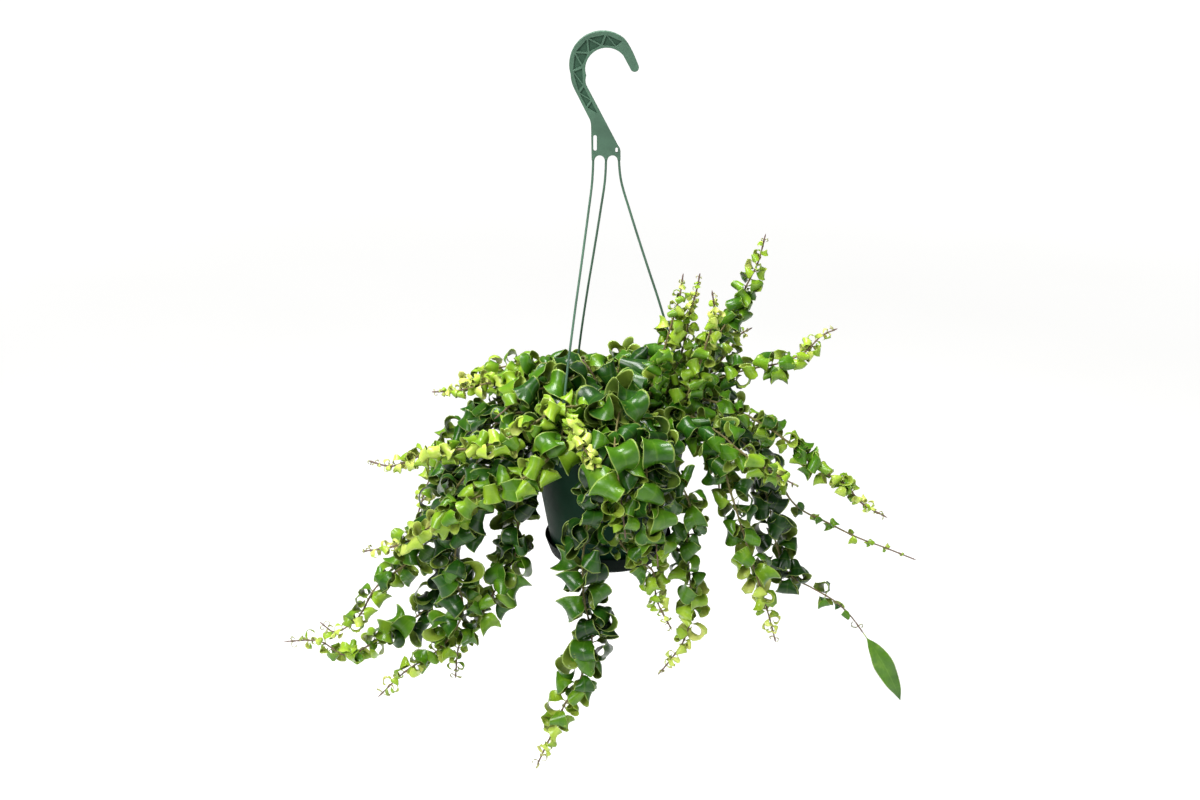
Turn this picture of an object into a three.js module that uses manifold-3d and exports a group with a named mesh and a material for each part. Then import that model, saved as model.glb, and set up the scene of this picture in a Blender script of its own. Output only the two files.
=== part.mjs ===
// Curly lipstick plant in a hanging pot, in millimetres.
//
// The origin is the seat of the hanger's hook, the point that bears on a rod or a ceiling hook.
// +Z is up, +X is to the right seen from the front, and +Y runs to the back. The load hangs
// straight below the seat, so the pot's axis is the Z axis.
//
// Pieces: a moulded hanger (hook plate and three strands), a tapered pot with slots for the
// strands' clips, a saucer that snaps under it, the soil, and the leafy stems. A stem stands in a
// plain hole in the soil, climbs out of the crown, bends over the rim and hangs. Its leaves sit
// in opposite pairs, each pair turned across the last, and every leaf curls back on itself.

import * as THREE from 'three';
import { mergeVertices } from 'three/addons/utils/BufferGeometryUtils.js';
import Module from 'manifold-3d';

const wasm = await Module();
wasm.setup();

// Driving dimensions of the pot, its saucer and the soil
const RIM_TOP = -404;
const POT_HEIGHT = 136;
const RIM_RADIUS = 86.5;
const RIM_WIDTH = 4.5;
const RIM_DROP = 7;
const WALL = 1.8;
const WALL_TOP_RADIUS = 83;
const FOOT_RADIUS = 60;
const FOOT_CHAMFER = 4;
const POT_SIDES = 32;
const DRAIN_HOLES = 6;
const DRAIN_RADIUS = 4;
const DRAIN_CIRCLE = 38;
const CENTRE_HOLE = 7;

const GAP = 0.3;
const SAUCER_HEIGHT = 19;
const SAUCER_CHAMFER = 3;
const SAUCER_RADIUS = 68;
const SAUCER_BASE_RADIUS = 62.5;
const SAUCER_WALL = 1.6;
const SAUCER_SIDES = 28;
const BOSS_RADIUS = 5;
const BOSS_HEIGHT = 6;

const SOIL_TOP = RIM_TOP - 10;
const SOIL_CROWN = 3;
const SOIL_SIDES = 18;
const PLANT_DEPTH = 16;
const HOLE_ROOM = 3.2;

// Driving dimensions of the hanger
const PLATE = 5;
const OUTER_ARC = { x: -6, z: -16.5, r: 32.8 };
const INNER_ARC = { x: -2, z: -21, r: 21 };
const TIP_ARC = { x: 25.3, z: -19.4, r: 4.2 };
const PLATE_FOOT = -112;
const ROOT_XS = [-15.4, -2.6, 10.3];
const ARCH_RADIUS = 5;
const WIDE_SLOT = { x0: -15.2, x1: -11.8, z0: -103, z1: -86.5 };
const SMALL_SLOT = { x0: 6.7, x1: 9.1, z0: -104.5, z1: -99 };
// The zigzag of ribs: it runs between two rails, round the arc and then down the shank
const RIB_RAIL = 2.6;
const RIB_ARC = { from: 48, step: 18, corners: 9 };
const SHANK_OUTER = [[-33.2, -36.5], [-18.2, -66.5]];
const SHANK_INNER = [[-24.6, -37.2], [-9.6, -66.2]];
const SHANK_CORNERS = 5;
const POCKET_DEPTH = 1.5;
const POCKET_SHARE = 0.74;
const STRAND_RADIUS = 1.25;
const STRAND_CIRCLE = RIM_RADIUS - 2.1;
const STRAND_AZIMUTHS = [235, 115, -5];
// How far a strand has swung out, and how far it has come down, as shares of the whole way
const STRAND_BOW = [[0.03, 0.07], [0.16, 0.18], [0.38, 0.35], [0.58, 0.5], [0.87, 0.75], [1, 0.94]];
const CLIP_HEIGHT = 5;
const CLIP_RADIUS = 2;
const SLOT_WIDTH = 3.5;

// Driving dimensions of a leaf at full size, and of the stems
const LEAF_LENGTH = 60;
const LEAF_WIDTH = 24;
const LEAF_THICK = 1.4;
const LEAF_TURN = 6.9;
const CURL_START = 0.75;
const CURL_GROWTH = 0.5;
// A leaf below the young share of its stem's full size is a narrow hook, and above the grown share
// it has its full form
const YOUNG_SHARE = 0.2;
const GROWN_SHARE = 0.6;
const YOUNG_WIDTH = 0.3;
const YOUNG_TURN = 0.6;
const LIFT = 0.5;
const OUTWARD = 0.5;
const FORWARD = 0.3;
const PETIOLE = 0.1;
const LEAF_STEPS = 24;
const PETIOLE_SHARE = 0.45;
const LARGE_STATIONS = [0, 2, 8, 13, 18, 24];
const SMALL_STATIONS = [0, 2, 10, 17, 24];
const SMALL_LEAF = 0.5;
const STEM_RADIUS = 2.1;
const TIP_RADIUS = 1.2;
const STEM_SIDES = 3;
const TUBE_ERROR = 1.2;
const ROUTE_STEPS = 12;
const PAIR_SPACING = 13;
// Where a stem is marked as sparse, its pairs stand this many times further apart
const SPARSE_SPACING = 2.6;
const PAIR_TURN = 1.69;
const LEAF_SHARE = 0.154;
const SMALL_SHARE = 0.5;
const CLEARANCE = 0.35;

// Small helpers for angles, solids and meshes
const radians = (degrees) => degrees * Math.PI / 180;
const mix = (a, b, share) => a + (b - a) * share;

const material = (color, roughness, metalness = 0) => (
  new THREE.MeshStandardMaterial({ color, roughness, metalness })
);

const PLASTIC = material(0x1d4a33, 0.45);
const HANGER_PLASTIC = material(0x4f7d63, 0.5);
const SAUCER_PLASTIC = material(0x14342a, 0.45);
const PEAT = material(0x2a1d14, 1);
const OLD_GREEN = new THREE.Color(0x1f4d1c);
const LIME_GREEN = new THREE.Color(0x9ec43a);

function solidFromArrays(positions, triangles) {
  return new wasm.Manifold(new wasm.Mesh({
    numProp: 3,
    vertProperties: new Float32Array(positions),
    triVerts: new Uint32Array(triangles),
  }));
}

function solidFrom(geometry) {
  const bare = geometry.clone();
  bare.deleteAttribute('normal');
  bare.deleteAttribute('uv');
  const merged = mergeVertices(bare, 1e-4);
  return solidFromArrays(merged.attributes.position.array, merged.index.array);
}

function meshOf(name, solid, finish) {
  const data = solid.getMesh();
  const geometry = new THREE.BufferGeometry();
  geometry.setAttribute('position', new THREE.BufferAttribute(data.vertProperties.slice(), 3));
  geometry.setIndex(new THREE.BufferAttribute(data.triVerts.slice(), 1));
  const mesh = new THREE.Mesh(geometry, finish);
  mesh.name = name;
  return mesh;
}

// The two triangles of a quad whose corners a, b, c and d run round it as seen from outside. It is
// split along the diagonal that stands out, so that the walls of a twisted strip never cross.
function quadTriangles(points, a, b, c, d) {
  const [toB, toC, toD] = [b, c, d].map((corner) => points[corner].clone().sub(points[a]));
  return toB.dot(toC.cross(toD)) < 0 ? [a, b, c, a, c, d] : [a, b, d, b, c, d];
}

// A closed solid through rings of points. Every ring has the same number of points, and a last
// ring of one point closes to a tip.
function loft(rings) {
  const sides = rings[0].length;
  const points = rings.flat();
  const positions = points.flatMap((point) => point.toArray());
  const triangles = [];
  for (let i = 1; i < sides - 1; i += 1) {
    triangles.push(0, i + 1, i);
  }
  for (let ring = 0; ring < rings.length - 1; ring += 1) {
    const here = ring * sides;
    const next = here + sides;
    for (let i = 0; i < sides; i += 1) {
      const j = (i + 1) % sides;
      if (rings[ring + 1].length === 1) {
        triangles.push(here + i, here + j, next);
      } else {
        triangles.push(...quadTriangles(points, here + i, here + j, next + j, next + i));
      }
    }
  }
  if (rings.at(-1).length > 1) {
    const last = (rings.length - 1) * sides;
    for (let i = 1; i < sides - 1; i += 1) {
      triangles.push(last, last + i, last + i + 1);
    }
  }
  return solidFromArrays(positions, triangles);
}

function upright(geometry, x, y, z) {
  return solidFrom(geometry.rotateX(Math.PI / 2).translate(x, y, z));
}

function turned(profile, sides) {
  const points = profile.map(([radius, z]) => new THREE.Vector2(radius, z));
  return solidFrom(new THREE.LatheGeometry(points, sides).rotateX(Math.PI / 2));
}

// The pot: a thin tapered wall with a rolled rim, drain holes, and slots for the clips
const POT_FOOT = RIM_TOP - POT_HEIGHT;
const WALL_SLOPE = (WALL_TOP_RADIUS - FOOT_RADIUS) / POT_HEIGHT;
const wallRadius = (z) => FOOT_RADIUS + (z - POT_FOOT) * WALL_SLOPE;

function pot() {
  const rimBottom = RIM_TOP - RIM_DROP;
  let solid = turned([
    [0, POT_FOOT],
    [FOOT_RADIUS - FOOT_CHAMFER, POT_FOOT],
    [wallRadius(POT_FOOT + FOOT_CHAMFER), POT_FOOT + FOOT_CHAMFER],
    [wallRadius(rimBottom), rimBottom],
    [RIM_RADIUS, rimBottom],
    [RIM_RADIUS, RIM_TOP],
    [RIM_RADIUS - RIM_WIDTH - WALL, RIM_TOP],
    [wallRadius(rimBottom) - WALL, rimBottom],
    [wallRadius(POT_FOOT + FOOT_CHAMFER) - WALL, POT_FOOT + FOOT_CHAMFER],
    [FOOT_RADIUS - FOOT_CHAMFER - WALL, POT_FOOT + WALL],
    [0, POT_FOOT + WALL],
  ], POT_SIDES);
  const hole = (radius, sides, x, y) => upright(
    new THREE.CylinderGeometry(radius, radius, 4 * WALL, sides), x, y, POT_FOOT + WALL / 2,
  );
  solid = solid.subtract(hole(CENTRE_HOLE, 12, 0, 0));
  for (let i = 0; i < DRAIN_HOLES; i += 1) {
    const angle = 2 * Math.PI * i / DRAIN_HOLES;
    const x = DRAIN_CIRCLE * Math.cos(angle);
    const y = DRAIN_CIRCLE * Math.sin(angle);
    solid = solid.subtract(hole(DRAIN_RADIUS, 8, x, y));
  }
  for (const azimuth of STRAND_AZIMUTHS) {
    const slot = new THREE.BoxGeometry(2 * SLOT_WIDTH, SLOT_WIDTH, 3 * RIM_DROP);
    slot.translate(STRAND_CIRCLE + SLOT_WIDTH / 2, 0, RIM_TOP - RIM_DROP / 2);
    solid = solid.subtract(solidFrom(slot.rotateZ(radians(azimuth))));
  }
  return solid;
}

// The saucer: a shallow dish whose boss snaps into the pot's centre hole
const SAUCER_FLOOR = POT_FOOT - GAP;
const SAUCER_FOOT = SAUCER_FLOOR - SAUCER_WALL;

function saucer() {
  const rim = SAUCER_FOOT + SAUCER_HEIGHT;
  const bossTop = SAUCER_FLOOR + BOSS_HEIGHT;
  return turned([
    [0, SAUCER_FOOT],
    [SAUCER_BASE_RADIUS - SAUCER_CHAMFER, SAUCER_FOOT],
    [SAUCER_BASE_RADIUS, SAUCER_FOOT + SAUCER_CHAMFER],
    [SAUCER_RADIUS, rim],
    [SAUCER_RADIUS - SAUCER_WALL, rim],
    [SAUCER_BASE_RADIUS - SAUCER_WALL, SAUCER_FLOOR + SAUCER_CHAMFER / 2],
    [SAUCER_BASE_RADIUS - SAUCER_CHAMFER, SAUCER_FLOOR],
    [BOSS_RADIUS, SAUCER_FLOOR],
    [BOSS_RADIUS, bossTop],
    [0, bossTop],
  ], SAUCER_SIDES);
}

// The soil: it fills the pot to a low dome, with one plain hole for each stem
function soil(stems) {
  const clear = WALL + GAP;
  const bottom = POT_FOOT + WALL + GAP;
  const edge = wallRadius(SOIL_TOP) - clear - 0.4;
  let solid = turned([
    [CENTRE_HOLE, bottom],
    [FOOT_RADIUS - FOOT_CHAMFER - clear - 0.6, bottom],
    [wallRadius(POT_FOOT + FOOT_CHAMFER) - clear - 0.6, POT_FOOT + FOOT_CHAMFER + 0.5],
    [edge, SOIL_TOP],
    [edge * 0.55, SOIL_TOP + SOIL_CROWN * 0.8],
    [0, SOIL_TOP + SOIL_CROWN],
    [0, bottom + BOSS_HEIGHT],
    [CENTRE_HOLE, bottom + BOSS_HEIGHT],
    [CENTRE_HOLE, bottom],
  ], SOIL_SIDES);
  for (const stem of stems) {
    const [x, y] = stem.base;
    const depth = 2 * PLANT_DEPTH + 4;
    const size = STEM_RADIUS + HOLE_ROOM;
    solid = solid.subtract(upright(
      new THREE.CylinderGeometry(size, size, depth, 3), x, y, SOIL_TOP + PLANT_DEPTH - depth / 2,
    ));
  }
  return solid;
}

// The hanger: a hook plate with a zigzag of shallow pockets, and three strands
function hookShape() {
  const shape = new THREE.Shape();
  const [left, middle, right] = ROOT_XS;
  shape.moveTo(right + 1.6, PLATE_FOOT);
  shape.lineTo(right + 1.6, -104);
  shape.quadraticCurveTo(right + 1.4, -100, 9.6, -98);
  shape.lineTo(-21.8, -37.5);
  const inner = [radians(198), radians(40)];
  shape.quadraticCurveTo(-23.6, -33, INNER_ARC.x + INNER_ARC.r * Math.cos(inner[0]),
    INNER_ARC.z + INNER_ARC.r * Math.sin(inner[0]));
  shape.absarc(INNER_ARC.x, INNER_ARC.z, INNER_ARC.r, inner[0], inner[1], true);
  shape.absarc(TIP_ARC.x, TIP_ARC.z, TIP_ARC.r, radians(208), radians(387), false);
  const outer = [radians(50), radians(196)];
  shape.quadraticCurveTo(21.5, 2, OUTER_ARC.x + OUTER_ARC.r * Math.cos(outer[0]),
    OUTER_ARC.z + OUTER_ARC.r * Math.sin(outer[0]));
  shape.absarc(OUTER_ARC.x, OUTER_ARC.z, OUTER_ARC.r, outer[0], outer[1], false);
  shape.quadraticCurveTo(-37.4, -33.5, -33.6, -41);
  shape.lineTo(-19.6, -69);
  shape.quadraticCurveTo(-17.6, -72.5, -17.5, -77);
  shape.lineTo(left - 1.6, PLATE_FOOT);
  for (const [a, b] of [[left, middle], [middle, right]]) {
    shape.absarc((a + b) / 2, PLATE_FOOT, ARCH_RADIUS, Math.PI, 0, true);
  }
  return shape;
}

function slotShape({ x0, x1, z0, z1 }) {
  const r = (x1 - x0) / 2;
  const shape = new THREE.Shape();
  shape.absarc(x0 + r, z1 - r, r, 0, Math.PI, false);
  shape.absarc(x0 + r, z0 + r, r, Math.PI, 2 * Math.PI, false);
  return shape;
}

// An outline in the plate's own plane, x across and z up, made into a slab about y = 0
function slab(shape, thickness, curveSegments, y = 0) {
  const geometry = new THREE.ExtrudeGeometry(shape, {
    depth: thickness, bevelEnabled: false, curveSegments,
  });
  geometry.translate(0, 0, -thickness / 2);
  geometry.rotateX(Math.PI / 2);
  geometry.translate(0, y, 0);
  return solidFrom(geometry);
}

// The zigzag's corners, in turn on the outer and the inner rail, round the arc and down the shank
function zigzag() {
  const onArc = (arc, r, degrees) => [
    arc.x + r * Math.cos(radians(degrees)), arc.z + r * Math.sin(radians(degrees)),
  ];
  const corners = [];
  for (let i = 0; i < RIB_ARC.corners; i += 1) {
    const degrees = RIB_ARC.from + RIB_ARC.step * i;
    corners.push(i % 2 === 0
      ? onArc(OUTER_ARC, OUTER_ARC.r - RIB_RAIL, degrees)
      : onArc(INNER_ARC, INNER_ARC.r + RIB_RAIL, degrees));
  }
  for (let i = 0; i < SHANK_CORNERS; i += 1) {
    const [from, to] = i % 2 === 0 ? SHANK_INNER : SHANK_OUTER;
    const share = i / (SHANK_CORNERS - 1);
    corners.push([mix(from[0], to[0], share), mix(from[1], to[1], share)]);
  }
  return corners;
}

const CLIP_TOP = RIM_TOP - RIM_DROP - GAP;

function strand(rootX, azimuth) {
  const angle = radians(azimuth);
  const foot = new THREE.Vector3(
    STRAND_CIRCLE * Math.cos(angle), STRAND_CIRCLE * Math.sin(angle), CLIP_TOP - CLIP_HEIGHT / 2,
  );
  const root = new THREE.Vector3(rootX, 0, PLATE_FOOT);
  const points = [root.clone().setZ(root.z + 4)];
  for (const [out, down] of [[0, 0], ...STRAND_BOW, [1, 1]]) {
    points.push(new THREE.Vector3(
      mix(root.x, foot.x, out), mix(root.y, foot.y, out), mix(root.z, foot.z, down),
    ));
  }
  const section = new THREE.Shape();
  section.absarc(0, 0, STRAND_RADIUS, 0, 2 * Math.PI, false);
  const rod = new THREE.ExtrudeGeometry(section, {
    extrudePath: new THREE.CatmullRomCurve3(points), steps: 10, curveSegments: 3,
  });
  const clip = upright(
    new THREE.CylinderGeometry(CLIP_RADIUS, STRAND_RADIUS, CLIP_HEIGHT, 6), foot.x, foot.y, foot.z,
  );
  return solidFrom(rod).add(clip);
}

function hanger() {
  let solid = slab(hookShape(), PLATE, 8);
  solid = solid.subtract(slab(slotShape(WIDE_SLOT), 2 * PLATE, 3));
  solid = solid.subtract(slab(slotShape(SMALL_SLOT), 2 * PLATE, 3));
  const corners = zigzag();
  for (let i = 0; i < corners.length - 2; i += 1) {
    const cell = corners.slice(i, i + 3);
    const centre = [0, 1].map((axis) => (cell[0][axis] + cell[1][axis] + cell[2][axis]) / 3);
    const shape = new THREE.Shape(cell.map((corner) => new THREE.Vector2(
      mix(centre[0], corner[0], POCKET_SHARE), mix(centre[1], corner[1], POCKET_SHARE),
    )));
    for (const face of [-1, 1]) {
      solid = solid.subtract(slab(shape, 2 * POCKET_DEPTH, 1, face * PLATE / 2));
    }
  }
  STRAND_AZIMUTHS.forEach((azimuth, i) => {
    solid = solid.add(strand(ROOT_XS[i], azimuth));
  });
  return solid;
}

// The stems. base is where the stem leaves the soil, route the points that it passes, size the
// scale of its leaves, spacing that of its pairs, and age runs from lime (0) to dark old green (1)
// at the root and at the tip.
const STEMS = [
  {
    name: 'stem_left_1', base: [-38, 0], size: 0.6, spacing: 0.55, age: [0.4, 0],
    route: [[-63, -10, -375], [-93, 10, -356], [-125, 25, -360], [-158, 35, -372], [-189, 40, -376]],
  },
  {
    name: 'stem_left_2', base: [-4, -24], size: 0.7, spacing: 0.62, age: [0.45, 0],
    route: [[-9, -50, -363], [-49, -75, -349], [-89, -85, -371], [-130, -85, -387],
      [-182, -70, -399], [-223, -60, -419], [-248, -55, -415]],
  },
  {
    name: 'stem_left_3', base: [-30, -40], size: 0.9, spacing: 0.8, age: [0.5, 0],
    route: [[-41, -62, -373], [-64, -100, -398], [-99, -105, -420], [-140, -100, -439],
      [-183, -90, -474], [-216, -80, -499], [-257, -70, -512]],
  },
  {
    name: 'stem_left_4', base: [-55, -22], size: 0.9, spacing: 0.9, age: [0.8, 0.1],
    route: [[-81, -30, -384], [-143, -50, -428], [-176, -50, -479], [-210, -45, -534],
      [-248, -40, -569], [-270, -40, -606], [-295, -40, -623], [-311, -40, -611]],
  },
  {
    name: 'stem_left_5', base: [-58, 4], size: 1, spacing: 1, age: [1, 0.3],
    route: [[-93, 6, -386], [-153, 10, -437], [-182, 15, -504], [-185, 10, -598],
      [-217, 10, -636], [-261, 5, -662], [-292, 0, -674], [-319, 0, -657], [-359, 0, -657]],
  },
  {
    name: 'stem_left_6', base: [-48, -36], size: 1, spacing: 0.95, age: [0.85, 0.15],
    route: [[-71, -48, -385], [-121, -72, -421], [-151, -77, -473], [-160, -77, -531],
      [-153, -77, -578], [-178, -75, -623], [-217, -75, -652], [-248, -75, -684]],
  },
  {
    name: 'stem_left_7', base: [-36, -22], size: 1, spacing: 0.95, age: [0.95, 0.3],
    route: [[-50, -42, -366], [-76, -68, -392], [-92, -66, -440], [-97, -58, -518],
      [-119, -58, -562], [-139, -58, -600], [-159, -58, -628], [-165, -58, -670]],
  },
  {
    name: 'stem_front_1', base: [-13, -58], size: 1.05, spacing: 1, age: [1, 0.2],
    route: [[-9, -82, -380], [-14, -110, -412], [-21, -115, -454], [-26, -115, -499],
      [-25, -110, -547], [-17, -110, -594], [-30, -110, -642], [-46, -110, -672],
      [-62, -110, -712], [-76, -110, -746]],
  },
  {
    name: 'stem_front_2', base: [-26, -52], size: 0.5, spacing: 0.45, age: [0.3, 0],
    route: [[-37, -74, -362], [-32, -112, -366], [-17, -128, -382], [-6, -130, -409]],
  },
  {
    name: 'stem_front_3', base: [8, -54], size: 0.75, spacing: 0.85, age: [0.6, 0],
    route: [[8, -82, -380], [5, -108, -424], [9, -110, -474], [24, -110, -498],
      [45, -105, -516], [50, -105, -550], [66, -105, -585]],
  },
  {
    name: 'stem_front_4', base: [32, -48], size: 0.85, spacing: 0.9, age: [0.75, 0],
    route: [[42, -70, -375], [60, -95, -402], [83, -90, -449], [81, -85, -497],
      [85, -85, -537], [88, -85, -572], [80, -85, -608], [66, -85, -632], [53, -85, -650]],
  },
  {
    name: 'stem_right_1', base: [52, -36], size: 0.85, spacing: 0.9, age: [0.8, 0.05],
    route: [[73, -50, -374], [109, -65, -401], [129, -65, -455], [143, -65, -501],
      [154, -65, -536], [165, -65, -571], [172, -65, -595], [179, -65, -622]],
  },
  {
    name: 'stem_right_2', base: [56, 0], size: 0.95, spacing: 1, age: [1, 0.7],
    route: [[90, 5, -386], [144, -8, -416], [170, -15, -478], [181, -15, -531],
      [197, -15, -567], [222, -15, -583], [247, -15, -599], [265, -15, -617],
      [280, -15, -638]],
    sparseFrom: 0.74,
    lastLeaf: { length: 106, width: 22, turn: 0.5, lift: 0, lean: 1.5, roll: -1.2, sweep: 0.2 },
  },
  {
    name: 'stem_right_3', base: [44, -14], size: 0.65, spacing: 0.65, age: [0.65, 0.1],
    route: [[85, -22, -360], [141, -35, -372], [183, -40, -398], [217, -40, -430],
      [248, -40, -449], [266, -40, -470], [294, -40, -487]],
  },
  {
    name: 'stem_right_4', base: [60, 16], size: 0.45, spacing: 0.7, age: [0.65, 0.15],
    route: [[98, 20, -388], [164, 25, -437], [204, 25, -502], [243, 25, -525],
      [273, 25, -541], [305, 25, -554], [340, 25, -569]],
    sparseFrom: 0.4,
  },
  {
    name: 'stem_right_5', base: [40, -30], size: 0.85, spacing: 0.8, age: [0.7, 0.3],
    route: [[76, -34, -374], [112, -70, -378], [132, -92, -388], [162, -102, -406],
      [191, -102, -423]],
  },
  {
    name: 'stem_upright_1', base: [36, 16], size: 0.75, spacing: 0.73, age: [0.8, 0.15],
    route: [[55, 22, -377], [93, 40, -345], [117, 50, -315], [135, 55, -288],
      [147, 60, -262], [158, 60, -237], [165, 60, -206]],
  },
  {
    name: 'stem_upright_2', base: [28, 2], size: 0.75, spacing: 0.75, age: [0.7, 0.05],
    route: [[62, 4, -376], [107, 4, -351], [143, 0, -336], [179, 0, -328],
      [204, 0, -316], [221, 0, -298], [237, 0, -290]],
  },
  {
    name: 'stem_upright_3', base: [28, -14], size: 0.65, spacing: 0.65, age: [0.6, 0],
    route: [[42, -26, -356], [56, -34, -303], [65, -32, -270], [72, -30, -244], [75, -30, -221]],
  },
  {
    name: 'stem_upright_4', base: [42, -4], size: 0.5, spacing: 0.6, age: [0.55, 0],
    route: [[62, -18, -350], [76, -22, -305], [84, -14, -267], [90, -10, -245], [93, -10, -227]],
  },
  {
    name: 'stem_upright_5', base: [62, -24], size: 0.65, spacing: 0.65, age: [0.65, 0],
    route: [[81, -34, -352], [92, -32, -322], [100, -28, -296], [108, -22, -269], [105, -20, -242]],
  },
  {
    name: 'stem_upright_6', base: [48, 30], size: 0.65, spacing: 0.7, age: [0.65, 0.1],
    route: [[74, 46, -384], [105, 62, -368], [130, 75, -343], [143, 80, -325], [156, 80, -317]],
  },
  {
    name: 'stem_back_1', base: [-6, 52], size: 1, spacing: 1, age: [0.95, 0.2],
    route: [[-8, 84, -380], [-10, 118, -402], [-8, 130, -452], [-14, 128, -520], [-6, 126, -590]],
  },
  {
    name: 'stem_back_2', base: [14, 58], size: 0.95, spacing: 1, age: [0.85, 0.1],
    route: [[24, 86, -378], [34, 116, -404], [38, 124, -460], [34, 120, -530], [40, 118, -575]],
  },
  {
    name: 'stem_back_3', base: [-34, 44], size: 1, spacing: 1, age: [0.95, 0.25],
    route: [[-58, 70, -382], [-88, 92, -405], [-102, 98, -460], [-112, 92, -530], [-106, 90, -585]],
  },
  {
    name: 'stem_back_4', base: [-52, 24], size: 0.9, spacing: 0.9, age: [0.8, 0.1],
    route: [[-84, 44, -386], [-125, 62, -402], [-165, 78, -440], [-196, 84, -490], [-214, 80, -540]],
  },
  {
    name: 'stem_back_5', base: [-20, 42], size: 0.9, spacing: 0.9, age: [0.75, 0.05],
    route: [[-22, 82, -368], [-54, 128, -384], [-78, 168, -420], [-90, 190, -475], [-84, 192, -520]],
  },
  {
    name: 'stem_back_6', base: [30, 46], size: 0.95, spacing: 0.95, age: [0.85, 0.1],
    route: [[52, 76, -380], [82, 108, -394], [110, 134, -430], [124, 142, -485], [130, 138, -545]],
  },
  {
    name: 'stem_back_7', base: [56, 38], size: 0.95, spacing: 0.95, age: [0.9, 0.15],
    route: [[86, 56, -388], [124, 76, -400], [156, 88, -434], [174, 92, -480], [182, 88, -530]],
  },
  {
    name: 'stem_back_8', base: [4, 36], size: 0.8, spacing: 0.8, age: [0.7, 0],
    route: [[8, 62, -374], [14, 98, -362], [18, 134, -374], [12, 164, -398], [8, 186, -442],
      [14, 198, -490]],
  },
  {
    name: 'stem_back_9', base: [-28, 24], size: 0.8, spacing: 0.8, age: [0.6, 0],
    route: [[-46, 44, -374], [-76, 66, -358], [-112, 86, -364], [-146, 100, -382], [-172, 106, -406]],
  },
  {
    name: 'stem_crown_1', base: [-20, -10], size: 1.25, spacing: 1, age: [0.9, 0.5],
    route: [[-28, -12, -385], [-44, -14, -360], [-68, -22, -348], [-94, -32, -358], [-118, -38, -376]],
  },
  {
    name: 'stem_crown_2', base: [-14, 12], size: 1.2, spacing: 1, age: [0.95, 0.5],
    route: [[-20, 16, -382], [-38, 26, -354], [-62, 36, -342], [-88, 48, -352]],
  },
  {
    name: 'stem_crown_3', base: [6, -20], size: 1.25, spacing: 1, age: [0.8, 0.4],
    route: [
      [8, -34, -384], [12, -60, -358], [10, -88, -352], [6, -112, -374], [10, -130, -404],
      [14, -134, -436], [17, -134, -466],
    ],
  },
  {
    name: 'stem_crown_4', base: [18, -36], size: 1.25, spacing: 1, age: [0.9, 0.5],
    route: [
      [22, -52, -382], [26, -78, -362], [34, -104, -372], [38, -124, -404], [42, -128, -444],
      [48, -131, -475], [50, -130, -500],
    ],
  },
  {
    name: 'stem_crown_5', base: [18, 18], size: 1.2, spacing: 1, age: [0.9, 0.4],
    route: [[26, 30, -384], [40, 52, -356], [58, 70, -350], [78, 90, -364]],
  },
  {
    name: 'stem_crown_6', base: [-2, 2], size: 1.25, spacing: 1, age: [0.9, 0.5],
    route: [[-2, 2, -390], [-8, 2, -366], [-16, 8, -344], [-28, 18, -330]],
  },
];

// A number from 0 to 1 that depends only on the stem, the leaf and what it is drawn for
function draw(stem, leaf, what) {
  let hash = 2166136261;
  for (const key of [stem, leaf, what]) {
    hash = Math.imul(hash ^ (key + 97), 16777619);
    hash ^= hash >>> 13;
    hash = Math.imul(hash, 1540483477);
    hash ^= hash >>> 15;
  }
  return (hash >>> 0) / 4294967296;
}

const spread = (stem, leaf, what, width) => (draw(stem, leaf, what) - 0.5) * width;

// Turns two directions that are square to each other by an angle, from the first to the second
function swing(first, second, angle) {
  const before = first.clone();
  first.multiplyScalar(Math.cos(angle)).addScaledVector(second, Math.sin(angle));
  second.multiplyScalar(Math.cos(angle)).addScaledVector(before, -Math.sin(angle));
}

// The stem's line as closely spaced samples, each with its distance from the root, its direction
// and a sideways direction that doesn't spin about the line
function samplesOf(stem) {
  const [x, y] = stem.base;
  const points = [
    new THREE.Vector3(x, y, SOIL_TOP - PLANT_DEPTH + 1),
    new THREE.Vector3(x, y, SOIL_TOP + SOIL_CROWN + 2),
    ...stem.route.map((point) => new THREE.Vector3(...point)),
  ];
  const curve = new THREE.CatmullRomCurve3(points);
  const line = curve.getPoints((points.length - 1) * ROUTE_STEPS);
  const side = new THREE.Vector3(1, 0, 0);
  let along = 0;
  return line.map((point, i) => {
    if (i > 0) {
      along += point.distanceTo(line[i - 1]);
    }
    const before = line[Math.max(i - 1, 0)];
    const after = line[Math.min(i + 1, line.length - 1)];
    const direction = after.clone().sub(before).normalize();
    side.addScaledVector(direction, -side.dot(direction)).normalize();
    return { point, along, direction, side: side.clone() };
  });
}

function sampleAt(samples, along) {
  let i = 1;
  while (i < samples.length - 1 && samples[i].along < along) {
    i += 1;
  }
  const [a, b] = [samples[i - 1], samples[i]];
  const share = (along - a.along) / (b.along - a.along);
  return {
    along,
    point: a.point.clone().lerp(b.point, share),
    direction: a.direction.clone().lerp(b.direction, share).normalize(),
    side: a.side.clone().lerp(b.side, share).normalize(),
  };
}

// The leaf pairs: the leaves get smaller and closer together over the last part of the stem
const FIRST_PAIR = PLANT_DEPTH + SOIL_CROWN + 12;
const stemRadius = (share) => mix(STEM_RADIUS, TIP_RADIUS, share);

function pairsOf(stem, samples) {
  const length = samples.at(-1).along;
  const pairs = [];
  let along = FIRST_PAIR;
  while (along < length - 3) {
    const toTip = (length - along) / length;
    const size = stem.size * Math.max(0.24, Math.min(1, (toTip / 0.28) ** 0.6));
    const share = size / stem.size;
    pairs.push({ ...sampleAt(samples, along), size, share, radius: stemRadius(along / length) });
    const isSparse = along > length * (stem.sparseFrom ?? 1);
    along += PAIR_SPACING * stem.spacing * mix(0.5, 1, share) * (isSparse ? SPARSE_SPACING : 1);
  }
  return pairs;
}

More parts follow.
